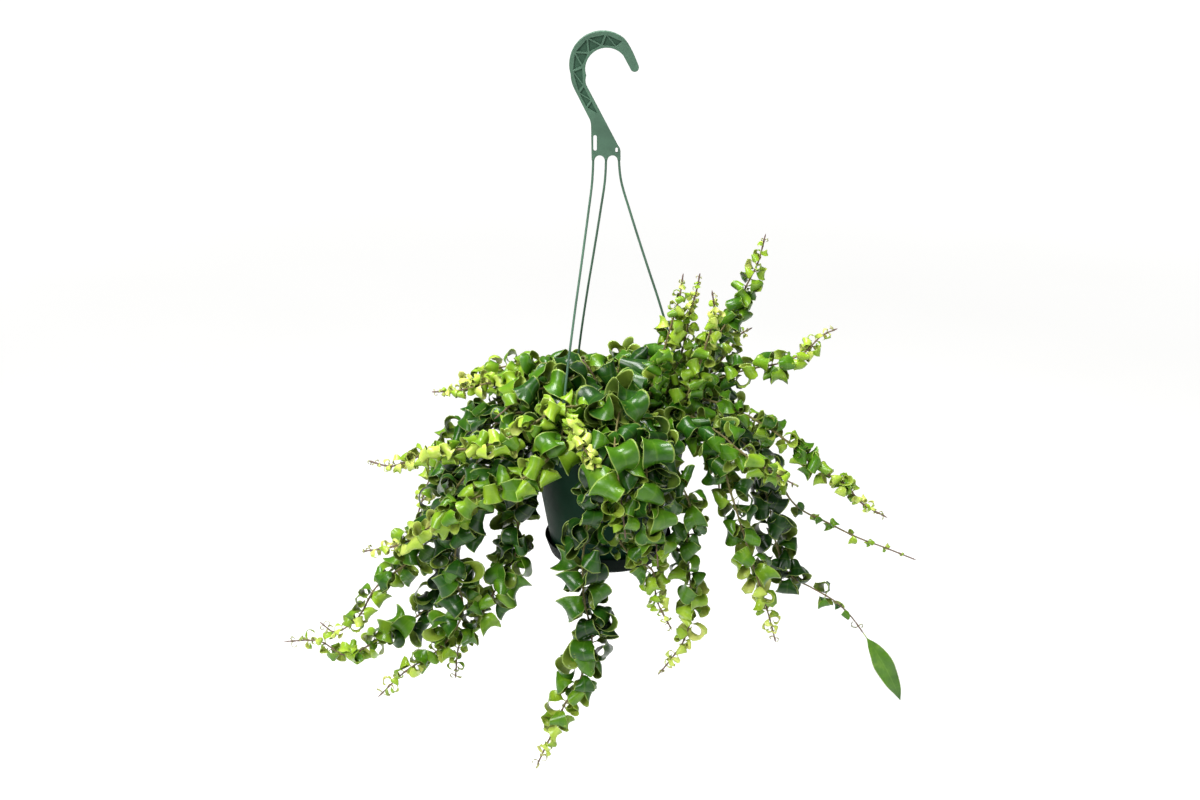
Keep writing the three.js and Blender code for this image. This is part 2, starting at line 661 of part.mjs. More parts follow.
// One curled leaf. Its glossy side faces up and away from the pot, and its spine is walked in small
// steps that bend it back under itself, twist it and sweep it aside, so that it winds into a roll.
function leafSpine(stemIndex, pair, pairIndex, side) {
  const leaf = 2 * pairIndex + side;
  const some = (what, width) => spread(stemIndex, leaf, what, width);
  const azimuth = pairIndex * PAIR_TURN + side * Math.PI + some(1, 0.6);
  const grown = Math.min(1, Math.max(0, (pair.share - YOUNG_SHARE) / (GROWN_SHARE - YOUNG_SHARE)));
  const form = pair.form ?? {
    length: LEAF_LENGTH * (1 + some(3, 0.3)),
    width: LEAF_WIDTH * (1 + some(4, 0.25)) * mix(YOUNG_WIDTH, 1, grown),
    turn: (LEAF_TURN + some(5, 2.4)) * mix(YOUNG_TURN, 1, grown),
    lift: LIFT + some(2, 0.5),
    lean: 0,
    roll: some(6, 3.2),
    sweep: (draw(stemIndex, leaf, 9) < 0.5 ? -1 : 1) * (0.5 + some(8, 0.8)),
  };
  const across = new THREE.Vector3().crossVectors(pair.direction, pair.side);
  const tangent = pair.side.clone().multiplyScalar(Math.cos(azimuth));
  tangent.addScaledVector(across, Math.sin(azimuth));
  tangent.multiplyScalar(Math.cos(form.lean)).addScaledVector(pair.direction, Math.sin(form.lean));
  const { x, y } = pair.point;
  const normal = new THREE.Vector3(x, y, 0).multiplyScalar(OUTWARD / (Math.hypot(x, y) + 30));
  normal.z = 1;
  normal.addScaledVector(pair.direction, FORWARD);
  normal.addScaledVector(tangent, -normal.dot(tangent)).normalize();
  swing(tangent, normal, form.lift);
  const sideways = new THREE.Vector3().crossVectors(tangent, normal);
  swing(sideways, normal, form.roll);
  const twist = some(7, 3);
  const cup = 0.02 + some(10, 0.8);
  const step = form.length * pair.size / LEAF_STEPS;
  const point = pair.point.clone();
  const spine = [];
  for (let i = 0; i <= LEAF_STEPS; i += 1) {
    const u = i / LEAF_STEPS;
    const blade = Math.max(0, (u - PETIOLE) / (1 - PETIOLE));
    const width = i < LEAF_STEPS ? Math.sin(Math.PI * blade ** 0.8) ** 0.95 : 0;
    spine.push({
      point: point.clone(),
      side: sideways.clone(),
      normal: normal.clone(),
      half: Math.max(PETIOLE_SHARE * pair.radius * (1 - blade), pair.size * form.width / 2 * width),
      rise: blade === 0 ? 0 : cup * pair.size * form.width / 2 * width,
    });
    if (blade > 0) {
      swing(tangent, normal, -form.turn * (CURL_START + CURL_GROWTH * u) / LEAF_STEPS);
      swing(sideways, normal, twist / LEAF_STEPS);
      swing(tangent, sideways, form.sweep / LEAF_STEPS);
    }
    point.addScaledVector(tangent, step);
  }
  return spine;
}

// The leaf's solid has three-sided sections: two margins, and a keel under the midrib where the
// margins rise, or a ridge along it where they droop
function leafSolid(spine, size, root, grow = 0) {
  const stations = size < SMALL_LEAF ? SMALL_STATIONS : LARGE_STATIONS;
  const thick = LEAF_THICK * mix(0.75, 1, size);
  const droops = spine.some(({ rise }) => rise < 0);
  const rings = stations.map((index, i) => {
    const { point, side, normal, half, rise } = spine[index];
    const centre = i === 0 ? root : point;
    if (index === LEAF_STEPS) {
      return [centre.clone()];
    }
    const margin = droops ? Math.min(rise, -thick) - grow : rise + grow;
    const midrib = droops ? grow : -thick - grow;
    const reach = droops ? -half - grow : half + grow;
    return [
      centre.clone().addScaledVector(side, reach).addScaledVector(normal, margin),
      centre.clone().addScaledVector(normal, midrib),
      centre.clone().addScaledVector(side, -reach).addScaledVector(normal, margin),
    ];
  });
  const solid = loft(rings);
  return solid.volume() > 0 ? solid : loft(rings.map((ring) => ring.toReversed()));
}

// The stem's tube has a ring of three points wherever its line has bent away from straight
function stemRings(samples) {
  const length = samples.at(-1).along;
  const stops = [0];
  for (let i = 2; i < samples.length; i += 1) {
    const from = stops.at(-1);
    const chord = new THREE.Line3(samples[from].point, samples[i].point);
    const nearest = new THREE.Vector3();
    const bent = samples.slice(from + 1, i).some(({ point }) => (
      chord.closestPointToPoint(point, true, nearest).distanceTo(point) > TUBE_ERROR
    ));
    if (bent) {
      stops.push(i - 1);
    }
  }
  stops.push(samples.length - 1);
  return stops.map((i) => ({ ...samples[i], radius: stemRadius(samples[i].along / length) }));
}

function stemSolid(rings, grow = 0) {
  return loft(rings.map(({ point, direction, side, radius }) => {
    const across = new THREE.Vector3().crossVectors(direction, side);
    const corners = [];
    for (let i = 0; i < STEM_SIDES; i += 1) {
      const angle = 2 * Math.PI * i / STEM_SIDES;
      corners.push(point.clone()
        .addScaledVector(side, (radius + grow) * Math.cos(angle))
        .addScaledVector(across, (radius + grow) * Math.sin(angle)));
    }
    return corners;
  }));
}

// Where the straight-sided tube runs at a given distance from the root
function onTube(rings, along) {
  let i = 1;
  while (i < rings.length - 1 && rings[i].along < along) {
    i += 1;
  }
  const [a, b] = [rings[i - 1], rings[i]];
  return a.point.clone().lerp(b.point, (along - a.along) / (b.along - a.along));
}

// Everything that a new leaf has to stay clear of, with its box for a quick first test
const placed = [];

function place(owner, solid, isTube = false) {
  placed.push({ owner, solid, isTube, box: solid.boundingBox() });
}

function isClear(owner, solid, grown) {
  const box = grown.boundingBox();
  return placed.every((other) => {
    const own = other.owner === owner;
    const apart = [0, 1, 2].some((axis) => (
      box.min[axis] > other.box.max[axis] || box.max[axis] < other.box.min[axis]
    ));
    return apart || (own && other.isTube)
      || (own ? solid : grown).intersect(other.solid).isEmpty();
  });
}

// As many of a stem's leaves as its share allows, each clear of all that is placed. Small leaves
// get a smaller share, and a leaf with a form of its own is always there.
function leavesOf({ stem, pairs, rings, tube }, stemIndex) {
  const leaves = [];
  let due = 1;
  pairs.forEach((pair, pairIndex) => {
    for (const side of pair.form ? [0] : [0, 1]) {
      due += pair.form ? 1 : LEAF_SHARE * mix(SMALL_SHARE, 1, pair.size);
      if (due < 1) {
        continue;
      }
      const spine = leafSpine(stemIndex, pair, pairIndex, side);
      const root = onTube(rings, pair.along);
      const solid = leafSolid(spine, pair.size, root);
      const grown = leafSolid(spine, pair.size, root, CLEARANCE);
      const rootedOnce = solid.intersect(tube).decompose().length === 1;
      if (rootedOnce && isClear(stem.name, solid, grown)) {
        place(stem.name, solid);
        leaves.push(solid);
        due -= 1;
      }
    }
  });
  return leaves;
}

function largestBody(solid) {
  const bodies = solid.decompose();
  return bodies.reduce((best, body) => (body.volume() > best.volume() ? body : best));
}

// Assembly
const group = new THREE.Group();
const pieces = [
  ['pot', pot(), PLASTIC],
  ['saucer', saucer(), SAUCER_PLASTIC],
  ['soil', soil(STEMS), PEAT],
  ['hanger', hanger(), HANGER_PLASTIC],
];
for (const [name, solid, finish] of pieces) {
  place(name, solid);
  group.add(meshOf(name, solid, finish));
}

const plants = STEMS.map((stem) => {
  const samples = samplesOf(stem);
  const pairs = pairsOf(stem, samples);
  if (stem.lastLeaf) {
    const tip = sampleAt(samples, samples.at(-1).along - 1);
    pairs.push({ ...tip, size: 1, radius: TIP_RADIUS, form: stem.lastLeaf });
  }
  const rings = stemRings(samples);
  const tube = stemSolid(rings);
  place(stem.name, tube, true);
  return { stem, pairs, rings, tube };
});

plants.forEach((plant, index) => {
  const { stem, tube } = plant;
  const leaves = leavesOf(plant, index);
  const color = LIME_GREEN.clone().lerp(OLD_GREEN, (stem.age[0] + stem.age[1]) / 2);
  const solid = largestBody(wasm.Manifold.union([tube, ...leaves])).simplify(0.01);
  group.add(meshOf(stem.name, solid, material(color, 0.4)));
});

export default group;
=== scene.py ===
# %% [markdown]
# # A curly lipstick plant in a hanging pot
#
# The object is a trailing houseplant whose leaves curl back on themselves, in a thin plastic pot
# that hangs from a moulded hook. The packed model already holds every piece at its real size, in
# metres, so this lesson only gives those pieces their fine surface: it grows each leafy stem again
# with all of its leaves, turns the pot and its saucer smoothly, and paints everything with
# procedural materials. The packed model is loaded first, because everything is set against it.

# %% Load the packed model
import math

import bmesh
import bpy
import numpy as np
from mathutils import Matrix, Vector, noise


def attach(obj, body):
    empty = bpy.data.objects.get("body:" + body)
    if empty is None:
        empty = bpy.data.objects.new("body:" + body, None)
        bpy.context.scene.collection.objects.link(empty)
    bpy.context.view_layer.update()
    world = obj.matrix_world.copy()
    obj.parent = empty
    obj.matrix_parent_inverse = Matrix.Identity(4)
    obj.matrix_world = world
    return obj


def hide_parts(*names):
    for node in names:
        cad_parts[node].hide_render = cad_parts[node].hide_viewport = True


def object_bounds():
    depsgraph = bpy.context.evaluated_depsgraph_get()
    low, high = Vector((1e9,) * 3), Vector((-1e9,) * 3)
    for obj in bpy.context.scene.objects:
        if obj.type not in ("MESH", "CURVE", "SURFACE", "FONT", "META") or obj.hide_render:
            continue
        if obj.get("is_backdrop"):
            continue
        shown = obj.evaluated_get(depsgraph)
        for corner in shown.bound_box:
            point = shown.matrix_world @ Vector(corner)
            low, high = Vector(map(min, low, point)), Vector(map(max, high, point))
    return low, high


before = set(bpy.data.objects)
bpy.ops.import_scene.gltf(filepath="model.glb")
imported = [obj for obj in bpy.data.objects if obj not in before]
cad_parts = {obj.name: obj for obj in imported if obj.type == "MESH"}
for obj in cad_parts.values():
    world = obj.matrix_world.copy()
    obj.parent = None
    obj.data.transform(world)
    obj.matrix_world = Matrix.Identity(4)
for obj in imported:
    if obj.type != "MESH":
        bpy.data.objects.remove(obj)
cad_low, cad_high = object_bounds()
MM = 0.001
sides_m = [round(x, 3) for x in cad_high - cad_low]
print("packed model:", len(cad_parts), "nodes,", sides_m, "m")

# %% [markdown]
# ## Camera
#
# The photograph looks slightly down on the pot from about two metres away. A camera can be placed
# by eye, but a better way is to fit it: the ellipse of the pot's rim gives the elevation, and the
# way the far strand shrinks gives the distance. The lens then follows from the scale of the pot.

# %% Place the camera
CAMERA_DISTANCE = 1.9
CAMERA_ELEVATION = math.radians(21.5)
CAMERA_TARGET = (-0.0086, 0.0, -0.3695)
SENSOR = 36.0
FRAME_WIDTH = 1200
PIXELS_PER_METRE = 952.4


def add_object(name, data):
    """A new object in the scene that holds this mesh, light or camera."""
    made = bpy.data.objects.new(name, data)
    bpy.context.scene.collection.objects.link(made)
    return made


camera_data = bpy.data.cameras.new("camera")
camera_data.sensor_width = SENSOR
camera_data.lens = SENSOR * CAMERA_DISTANCE * PIXELS_PER_METRE / FRAME_WIDTH
camera = add_object("camera", camera_data)
camera.location = (
    CAMERA_TARGET[0],
    CAMERA_TARGET[1] - CAMERA_DISTANCE * math.cos(CAMERA_ELEVATION),
    CAMERA_TARGET[2] + CAMERA_DISTANCE * math.sin(CAMERA_ELEVATION),
)
camera.rotation_euler = (math.pi / 2 - CAMERA_ELEVATION, 0, 0)
bpy.context.scene.camera = camera
print("lens:", round(camera_data.lens, 1), "mm")

# %% [markdown]
# ## Light
#
# Glossy leaves need something large and soft to reflect, as a studio's window or softbox gives.
# One softbox from the upper left shapes the curls, a weaker one from the right fills them, and a
# smaller one from above puts the white gleam on their backs. A very soft sun lifts the plant and
# the floor alike. A bright world would wash out the dark hollows between the leaves, so the world
# is white only where the camera sees it, and lights the plant dimly.

# %% Light the studio
PLANT_HEART = (0.0, 0.0, -0.42)
SUN_POWER = 2.2
SUN_SOFTNESS = math.radians(25)
SUN_TURN = (math.radians(35), math.radians(-25), 0)
WORLD_SEEN = 1.0
WORLD_LIGHT = 0.16


def softbox(name, place, size, power):
    """A square area light at place that shines towards the plant, with all lengths in metres."""
    data = bpy.data.lights.new(name, "AREA")
    data.size = size
    data.energy = power
    lamp = add_object(name, data)
    lamp.location = place
    direction = Vector(np.subtract(PLANT_HEART, place))
    lamp.rotation_euler = direction.to_track_quat("-Z", "Y").to_euler()


softbox("key", place=(-1.3, -1.5, 0.9), size=0.9, power=24)
softbox("fill", place=(1.7, -1.2, 0.1), size=1.2, power=10)
softbox("top", place=(-0.2, 0.1, 0.9), size=0.6, power=30)
sun = bpy.data.lights.new("sun", "SUN")
sun.energy = SUN_POWER
sun.angle = SUN_SOFTNESS
add_object("sun", sun).rotation_euler = SUN_TURN

world = bpy.data.worlds.new("studio")
bpy.context.scene.world = world
world.use_nodes = True
background = world.node_tree.nodes["Background"]
background.inputs["Color"].default_value = (1, 1, 1, 1)
seen = world.node_tree.nodes.new("ShaderNodeLightPath")
strength = world.node_tree.nodes.new("ShaderNodeMapRange")
strength.inputs["To Min"].default_value = WORLD_LIGHT
strength.inputs["To Max"].default_value = WORLD_SEEN
world.node_tree.links.new(seen.outputs["Is Camera Ray"], strength.inputs["Value"])
world.node_tree.links.new(strength.outputs["Result"], background.inputs["Strength"])
bpy.context.scene.view_settings.view_transform = "Standard"

# %% [markdown]
# ## Shader maths as Python
#
# A material is a graph of nodes, and a graph soon hides its own arithmetic. The small class below
# wraps one output socket, so that a line such as `1 - mask * 0.5` adds the Math nodes that it
# needs.

# %% Wrap sockets in a class
class Field:
    """A number, vector or colour that varies over a surface: one output socket."""

    def __init__(self, finish, socket):
        self.finish = finish
        self.socket = socket

    def maths(self, operation, *values):
        return self.finish.node("ShaderNodeMath", {"operation": operation}, values)

    def __add__(self, other):
        return self.maths("ADD", self, other)

    def __sub__(self, other):
        return self.maths("SUBTRACT", self, other)

    def __rsub__(self, other):
        return self.maths("SUBTRACT", other, self)

    def __mul__(self, other):
        return self.maths("MULTIPLY", self, other)

    def __abs__(self):
        return self.maths("ABSOLUTE", self)

    def sine(self):
        return self.maths("SINE", self)

    def step(self, low, high):
        """0 below low, 1 above high, and smooth between them; low may be the larger one."""
        limits = {"From Min": low, "From Max": high}
        settings = {"interpolation_type": "SMOOTHSTEP"}
        return self.finish.node("ShaderNodeMapRange", settings, {"Value": self, **limits})

    __radd__ = __add__
    __rmul__ = __mul__


print("a field knows", [name for name in vars(Field) if name[0] != "_"])

# %% [markdown]
# A Finish is a material with one Principled shader, and with one method that adds any node from
# its type, its settings and its sockets. Everything that the painting below needs more than once,
# such as noise or a bump, is a short method that calls that one.

# %% Wrap a material in a class
class Finish:
    """A material, its node tree and its Principled shader."""

    def __init__(self, name, **constants):
        self.material = bpy.data.materials.new(name)
        self.material.use_nodes = True
        self.tree = self.material.node_tree
        self.shader = self.tree.nodes["Principled BSDF"]
        self.paint(**constants)

    def node(self, kind, settings=None, sockets=(), output=0):
        """Adds a node: its settings are set first, then the values or links of its sockets."""
        made = self.tree.nodes.new(kind)
        for name, value in (settings or {}).items():
            if name == "stops":
                self.set_stops(made.color_ramp, value)
            else:
                setattr(made, name, value)
        pairs = sockets.items() if isinstance(sockets, dict) else enumerate(sockets)
        for key, value in pairs:
            self.feed(made.inputs[key], value)
        return Field(self, made.outputs[output])

    def feed(self, socket, value):
        if isinstance(value, Field):
            self.tree.links.new(value.socket, socket)
        else:
            socket.default_value = value

    def set_stops(self, ramp, stops):
        while len(ramp.elements) < len(stops):
            ramp.elements.new(0.5)
        for element, (position, color) in zip(ramp.elements, stops):
            element.position = position
            element.color = rgba(color)

    def mix(self, share, a, b):
        """Colour a where share is 0 and colour b where it is 1."""
        a = a if isinstance(a, Field) else rgba(a)
        b = b if isinstance(b, Field) else rgba(b)
        sockets = {0: share, 6: a, 7: b}
        return self.node("ShaderNodeMix", {"data_type": "RGBA"}, sockets, output=2)

    def ramp(self, value, stops):
        return self.node("ShaderNodeValToRGB", {"stops": stops}, [value])

    def noise(self, scale, detail=3.0):
        """Cloudy noise from 0 to 1, with scale in clouds per metre."""
        place = self.node("ShaderNodeTexCoord", output="Object")
        sockets = {"Vector": place, "Scale": scale, "Detail": detail}
        return self.node("ShaderNodeTexNoise", None, sockets)

    def attribute(self, name):
        """The three numbers that a mesh keeps at its points under this name."""
        vector = self.node("ShaderNodeAttribute", {"attribute_name": name}, output="Vector")
        return [self.node("ShaderNodeSeparateXYZ", None, [vector], output=i) for i in range(3)]

    def paint(self, **sockets):
        """Sets the shader's sockets, each named with _ for a space, to a number or a field."""
        for socket, value in sockets.items():
            self.feed(self.shader.inputs[socket.replace("_", " ")], value)

    def bump(self, height, depth):
        """A normal from a height field, with depth in metres."""
        sockets = {"Height": height, "Distance": depth, "Strength": 1.0}
        return self.node("ShaderNodeBump", None, sockets)

    def report(self):
        print("finish", self.material.name + ":", len(self.tree.nodes), "shader nodes")


def rgba(color):
    """A colour given as three sRGB numbers from 0 to 255, as linear light."""
    linear = [((c / 255 + 0.055) / 1.055) ** 2.4 if c > 10 else c / 255 / 12.92 for c in color]
    return (*linear, 1.0)


print("middle grey is", round(rgba((128, 128, 128))[0], 3), "as light")

# %% [markdown]
# ## The floor
#
# A plain pale floor gives the plant something to hang above. It is a large flat square, marked as
# part of the stage and not of the object, in a nearly white paint with the faintest mottling. In
# a studio the backdrop has lamps of its own, because the ones near the plant fade with distance.
# Here the paint itself glows, and glows more far from the plant, where it can't light the leaves.

# %% Lay the floor
FLOOR_HEIGHT = -1.05
FLOOR_HALF = 12.0
FLOOR_CORNERS = ((-1, -1), (1, -1), (1, 1), (-1, 1))
MOTTLING = 1.5
NEAR_GLOW = (112, 112, 112)
FAR_GLOW = (190, 190, 190)
GLOW_STARTS = 1.5
GLOW_ENDS = 5.0


def mesh_object(name, points, faces, materials, scale=MM):
    """A new smooth object from points in millimetres and faces, with its materials."""
    mesh = bpy.data.meshes.new(name)
    mesh.from_pydata((np.asarray(points, float) * scale).tolist(), [], faces)
    mesh.shade_smooth()
    for material in materials:
        mesh.materials.append(material)
    return add_object(name, mesh)


floor_paint = Finish("floor_paint", Roughness=0.75, Emission_Strength=1.0)
on_floor = floor_paint.node("ShaderNodeTexCoord", output="Object")
from_plant = floor_paint.node("ShaderNodeVectorMath", {"operation": "LENGTH"}, [on_floor], "Value")
floor_paint.paint(
    Base_Color=floor_paint.mix(floor_paint.noise(MOTTLING), (238, 238, 236), (244, 244, 243)),
    Emission_Color=floor_paint.mix(from_plant.step(GLOW_STARTS, GLOW_ENDS), NEAR_GLOW, FAR_GLOW),
)
floor_paint.report()
corners = [(x * FLOOR_HALF, y * FLOOR_HALF, FLOOR_HEIGHT) for x, y in FLOOR_CORNERS]
floor = mesh_object("floor", corners, [(0, 1, 2, 3)], [floor_paint.material], scale=1.0)
floor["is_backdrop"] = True
print("the plant hangs", round(cad_low[2] - FLOOR_HEIGHT, 2), "m above the floor")

# %% [markdown]
# ## How the plant grows
#
# Each stem follows a few points that were chosen from the photograph. A leaf pair sits at every
# node of the stem, and each pair is turned across the last. The same rule made the packed model's
# stems, which carry only some of the leaves, with few faces. Repeating the rule here gives every
# leaf, and those that the packed model has stay in place, only with more rippled margins.
#
# Two stems on the right are nearly bare from some share of their length on, so their pairs stand
# further apart there. One of them ends in a single long leaf that hardly curls.

# %% The stems
RIM_TOP = -404
SOIL_DROP = 10
SOIL_TOP = RIM_TOP - SOIL_DROP
SOIL_CROWN = 3
PLANT_DEPTH = 16
STEM_NECK = 12
FIRST_PAIR = PLANT_DEPTH + SOIL_CROWN + STEM_NECK
ROUTE_STEPS = 12
STEM_RADIUS = 2.1
TIP_RADIUS = 1.2
PAIR_SPACING = 13
SPARSE_SPACING = 2.6
PAIR_TURN = 1.69
LEAF_LENGTH = 60
LEAF_WIDTH = 24
PETIOLE = 0.1
PETIOLE_SHARE = 0.45
LEAF_STEPS = 24

# Each stem: name, foot in the soil, leaf size, pair spacing, age at the root and at the tip, route
STEMS = [
    ("left_1", (-38, 0), 0.60, 0.55, (0.4, 0), [
        (-63, -10, -375), (-93, 10, -356), (-125, 25, -360), (-158, 35, -372), (-189, 40, -376)]),
    ("left_2", (-4, -24), 0.70, 0.62, (0.45, 0), [
        (-9, -50, -363), (-49, -75, -349), (-89, -85, -371), (-130, -85, -387),
        (-182, -70, -399), (-223, -60, -419), (-248, -55, -415)]),
    ("left_3", (-30, -40), 0.90, 0.80, (0.5, 0), [
        (-41, -62, -373), (-64, -100, -398), (-99, -105, -420), (-140, -100, -439),
        (-183, -90, -474), (-216, -80, -499), (-257, -70, -512)]),
    ("left_4", (-55, -22), 0.90, 0.90, (0.8, 0.1), [
        (-81, -30, -384), (-143, -50, -428), (-176, -50, -479), (-210, -45, -534),
        (-248, -40, -569), (-270, -40, -606), (-295, -40, -623), (-311, -40, -611)]),
    ("left_5", (-58, 4), 1.00, 1.00, (1, 0.15), [
        (-93, 6, -386), (-153, 10, -437), (-182, 15, -504), (-185, 10, -598),
        (-217, 10, -636), (-261, 5, -662), (-292, 0, -674), (-319, 0, -657), (-359, 0, -657)]),
    ("left_6", (-48, -36), 1.00, 0.95, (0.95, 0.05), [
        (-71, -48, -385), (-121, -72, -421), (-151, -77, -473), (-160, -77, -531),
        (-153, -77, -578), (-178, -75, -623), (-217, -75, -652), (-248, -75, -684)]),
    ("left_7", (-36, -22), 1.00, 0.95, (0.95, 0.15), [
        (-50, -42, -366), (-76, -68, -392), (-92, -66, -440), (-97, -58, -518),
        (-119, -58, -562), (-139, -58, -600), (-159, -58, -628), (-165, -58, -670)]),
    ("front_1", (-13, -58), 1.05, 1.00, (1, 0.05), [
        (-9, -82, -380), (-14, -110, -412), (-21, -115, -454), (-26, -115, -499),
        (-25, -110, -547), (-17, -110, -594), (-30, -110, -642), (-46, -110, -672),
        (-62, -110, -712), (-76, -110, -746)]),
    ("front_2", (-26, -52), 0.50, 0.45, (0.3, 0), [
        (-37, -74, -362), (-32, -112, -366), (-17, -128, -382), (-6, -130, -409)]),
    ("front_3", (8, -54), 0.75, 0.85, (0.75, -0.1), [
        (8, -82, -380), (5, -108, -424), (9, -110, -474), (24, -110, -498),
        (45, -105, -516), (50, -105, -550), (66, -105, -585)]),
    ("front_4", (32, -48), 0.85, 0.90, (0.75, -0.1), [
        (42, -70, -375), (60, -95, -402), (83, -90, -449), (81, -85, -497),
        (85, -85, -537), (88, -85, -572), (80, -85, -608), (66, -85, -632), (53, -85, -650)]),
    ("right_1", (52, -36), 0.85, 0.90, (0.75, -0.1), [
        (73, -50, -374), (109, -65, -401), (129, -65, -455), (143, -65, -501),
        (154, -65, -536), (165, -65, -571), (172, -65, -595), (179, -65, -622)]),
    ("right_2", (56, 0), 0.95, 1.00, (1, 0.7), [
        (90, 5, -386), (144, -8, -416), (170, -15, -478), (181, -15, -531),
        (197, -15, -567), (222, -15, -583), (247, -15, -599), (265, -15, -617),
        (280, -15, -638)]),
    ("right_3", (44, -14), 0.65, 0.65, (0.65, 0.1), [
        (85, -22, -360), (141, -35, -372), (183, -40, -398), (217, -40, -430),
        (248, -40, -449), (266, -40, -470), (294, -40, -487)]),
    ("right_4", (60, 16), 0.45, 0.70, (0.65, 0.15), [
        (98, 20, -388), (164, 25, -437), (204, 25, -502), (243, 25, -525),
        (273, 25, -541), (305, 25, -554), (340, 25, -569)]),
    ("right_5", (40, -30), 0.85, 0.80, (0.7, 0.3), [
        (76, -34, -374), (112, -70, -378), (132, -92, -388), (162, -102, -406), (191, -102, -423)]),
    ("upright_1", (36, 16), 0.75, 0.73, (0.8, 0.15), [
        (55, 22, -377), (93, 40, -345), (117, 50, -315), (135, 55, -288),
        (147, 60, -262), (158, 60, -237), (165, 60, -206)]),
    ("upright_2", (28, 2), 0.75, 0.75, (0.7, 0.05), [
        (62, 4, -376), (107, 4, -351), (143, 0, -336), (179, 0, -328),
        (204, 0, -316), (221, 0, -298), (237, 0, -290)]),
    ("upright_3", (28, -14), 0.65, 0.65, (0.6, 0), [
        (42, -26, -356), (56, -34, -303), (65, -32, -270), (72, -30, -244), (75, -30, -221)]),
    ("upright_4", (42, -4), 0.50, 0.60, (0.55, 0), [
        (62, -18, -350), (76, -22, -305), (84, -14, -267), (90, -10, -245), (93, -10, -227)]),
    ("upright_5", (62, -24), 0.65, 0.65, (0.65, 0), [
        (81, -34, -352), (92, -32, -322), (100, -28, -296), (108, -22, -269), (105, -20, -242)]),
    ("upright_6", (48, 30), 0.65, 0.70, (0.65, 0.1), [
        (74, 46, -384), (105, 62, -368), (130, 75, -343), (143, 80, -325), (156, 80, -317)]),
    ("back_1", (-6, 52), 1.00, 1.00, (0.95, 0.2), [
        (-8, 84, -380), (-10, 118, -402), (-8, 130, -452), (-14, 128, -520), (-6, 126, -590)]),
    ("back_2", (14, 58), 0.95, 1.00, (0.85, 0.1), [
        (24, 86, -378), (34, 116, -404), (38, 124, -460), (34, 120, -530), (40, 118, -575)]),
    ("back_3", (-34, 44), 1.00, 1.00, (0.95, 0.25), [
        (-58, 70, -382), (-88, 92, -405), (-102, 98, -460), (-112, 92, -530), (-106, 90, -585)]),
    ("back_4", (-52, 24), 0.90, 0.90, (0.8, 0.1), [
        (-84, 44, -386), (-125, 62, -402), (-165, 78, -440), (-196, 84, -490), (-214, 80, -540)]),
    ("back_5", (-20, 42), 0.90, 0.90, (0.75, 0.05), [
        (-22, 82, -368), (-54, 128, -384), (-78, 168, -420), (-90, 190, -475), (-84, 192, -520)]),
    ("back_6", (30, 46), 0.95, 0.95, (0.85, 0.1), [
        (52, 76, -380), (82, 108, -394), (110, 134, -430), (124, 142, -485), (130, 138, -545)]),
    ("back_7", (56, 38), 0.95, 0.95, (0.9, 0.15), [
        (86, 56, -388), (124, 76, -400), (156, 88, -434), (174, 92, -480), (182, 88, -530)]),
    ("back_8", (4, 36), 0.80, 0.80, (0.7, 0), [
        (8, 62, -374), (14, 98, -362), (18, 134, -374), (12, 164, -398), (8, 186, -442),
        (14, 198, -490)]),
    ("back_9", (-28, 24), 0.80, 0.80, (0.6, 0), [
        (-46, 44, -374), (-76, 66, -358), (-112, 86, -364), (-146, 100, -382), (-172, 106, -406)]),
    ("crown_1", (-20, -10), 1.25, 1.00, (0.9, 0.5), [
        (-28, -12, -385), (-44, -14, -360), (-68, -22, -348), (-94, -32, -358), (-118, -38, -376)]),
    ("crown_2", (-14, 12), 1.20, 1.00, (0.95, 0.5), [
        (-20, 16, -382), (-38, 26, -354), (-62, 36, -342), (-88, 48, -352)]),
    ("crown_3", (6, -20), 1.25, 1.00, (0.8, 0.4), [
        (8, -34, -384), (12, -60, -358), (10, -88, -352), (6, -112, -374), (10, -130, -404),
        (14, -134, -436), (17, -134, -466)]),
    ("crown_4", (18, -36), 1.25, 1.00, (0.9, 0.5), [
        (22, -52, -382), (26, -78, -362), (34, -104, -372), (38, -124, -404), (42, -128, -444),
        (48, -131, -475), (50, -130, -500)]),
    ("crown_5", (18, 18), 1.20, 1.00, (0.9, 0.4), [
        (26, 30, -384), (40, 52, -356), (58, 70, -350), (78, 90, -364)]),
    ("crown_6", (-2, 2), 1.25, 1.00, (0.9, 0.5), [
        (-2, 2, -390), (-8, 2, -366), (-16, 8, -344), (-28, 18, -330)]),
]
SPARSE_FROM = {"right_2": 0.74, "right_4": 0.4}
LAST_LEAF_STEM = "right_2"
LAST_LEAF_AGE = 0.5
LAST_LEAF_GAP = 1
LAST_LEAF = {
    "length": 106, "width": 22, "turn": 0.5, "lift": 0, "lean": 1.5, "roll": -1.2, "sweep": 0.2,
}
print(len(STEMS), "stems")


# %% [markdown]
# The chance in the rule is a hash: the same stem, leaf and purpose always give the same number, in
# any order. A random generator would give every leaf another shape as soon as one was added.

# %% Numbers by chance
HASH_START = 2166136261
HASH_FACTOR = 16777619
HASH_STIR = 1540483477
HASH_RANGE = 2 ** 32
FIRST_KEY = 97

# For each thing that is drawn: the number of its draw, and how wide its values spread
DRAWS = {
    "azimuth": (1, 0.6), "lift": (2, 0.5), "length": (3, 0.3), "width": (4, 0.25),
    "turn": (5, 2.4), "roll": (6, 3.2), "twist": (7, 3), "sweep": (8, 0.8), "sign": (9, 1),
    "cup": (10, 0.8), "phase": (11, 2 * math.pi), "ripple": (12, 0.3), "tone": (20, 1),
}


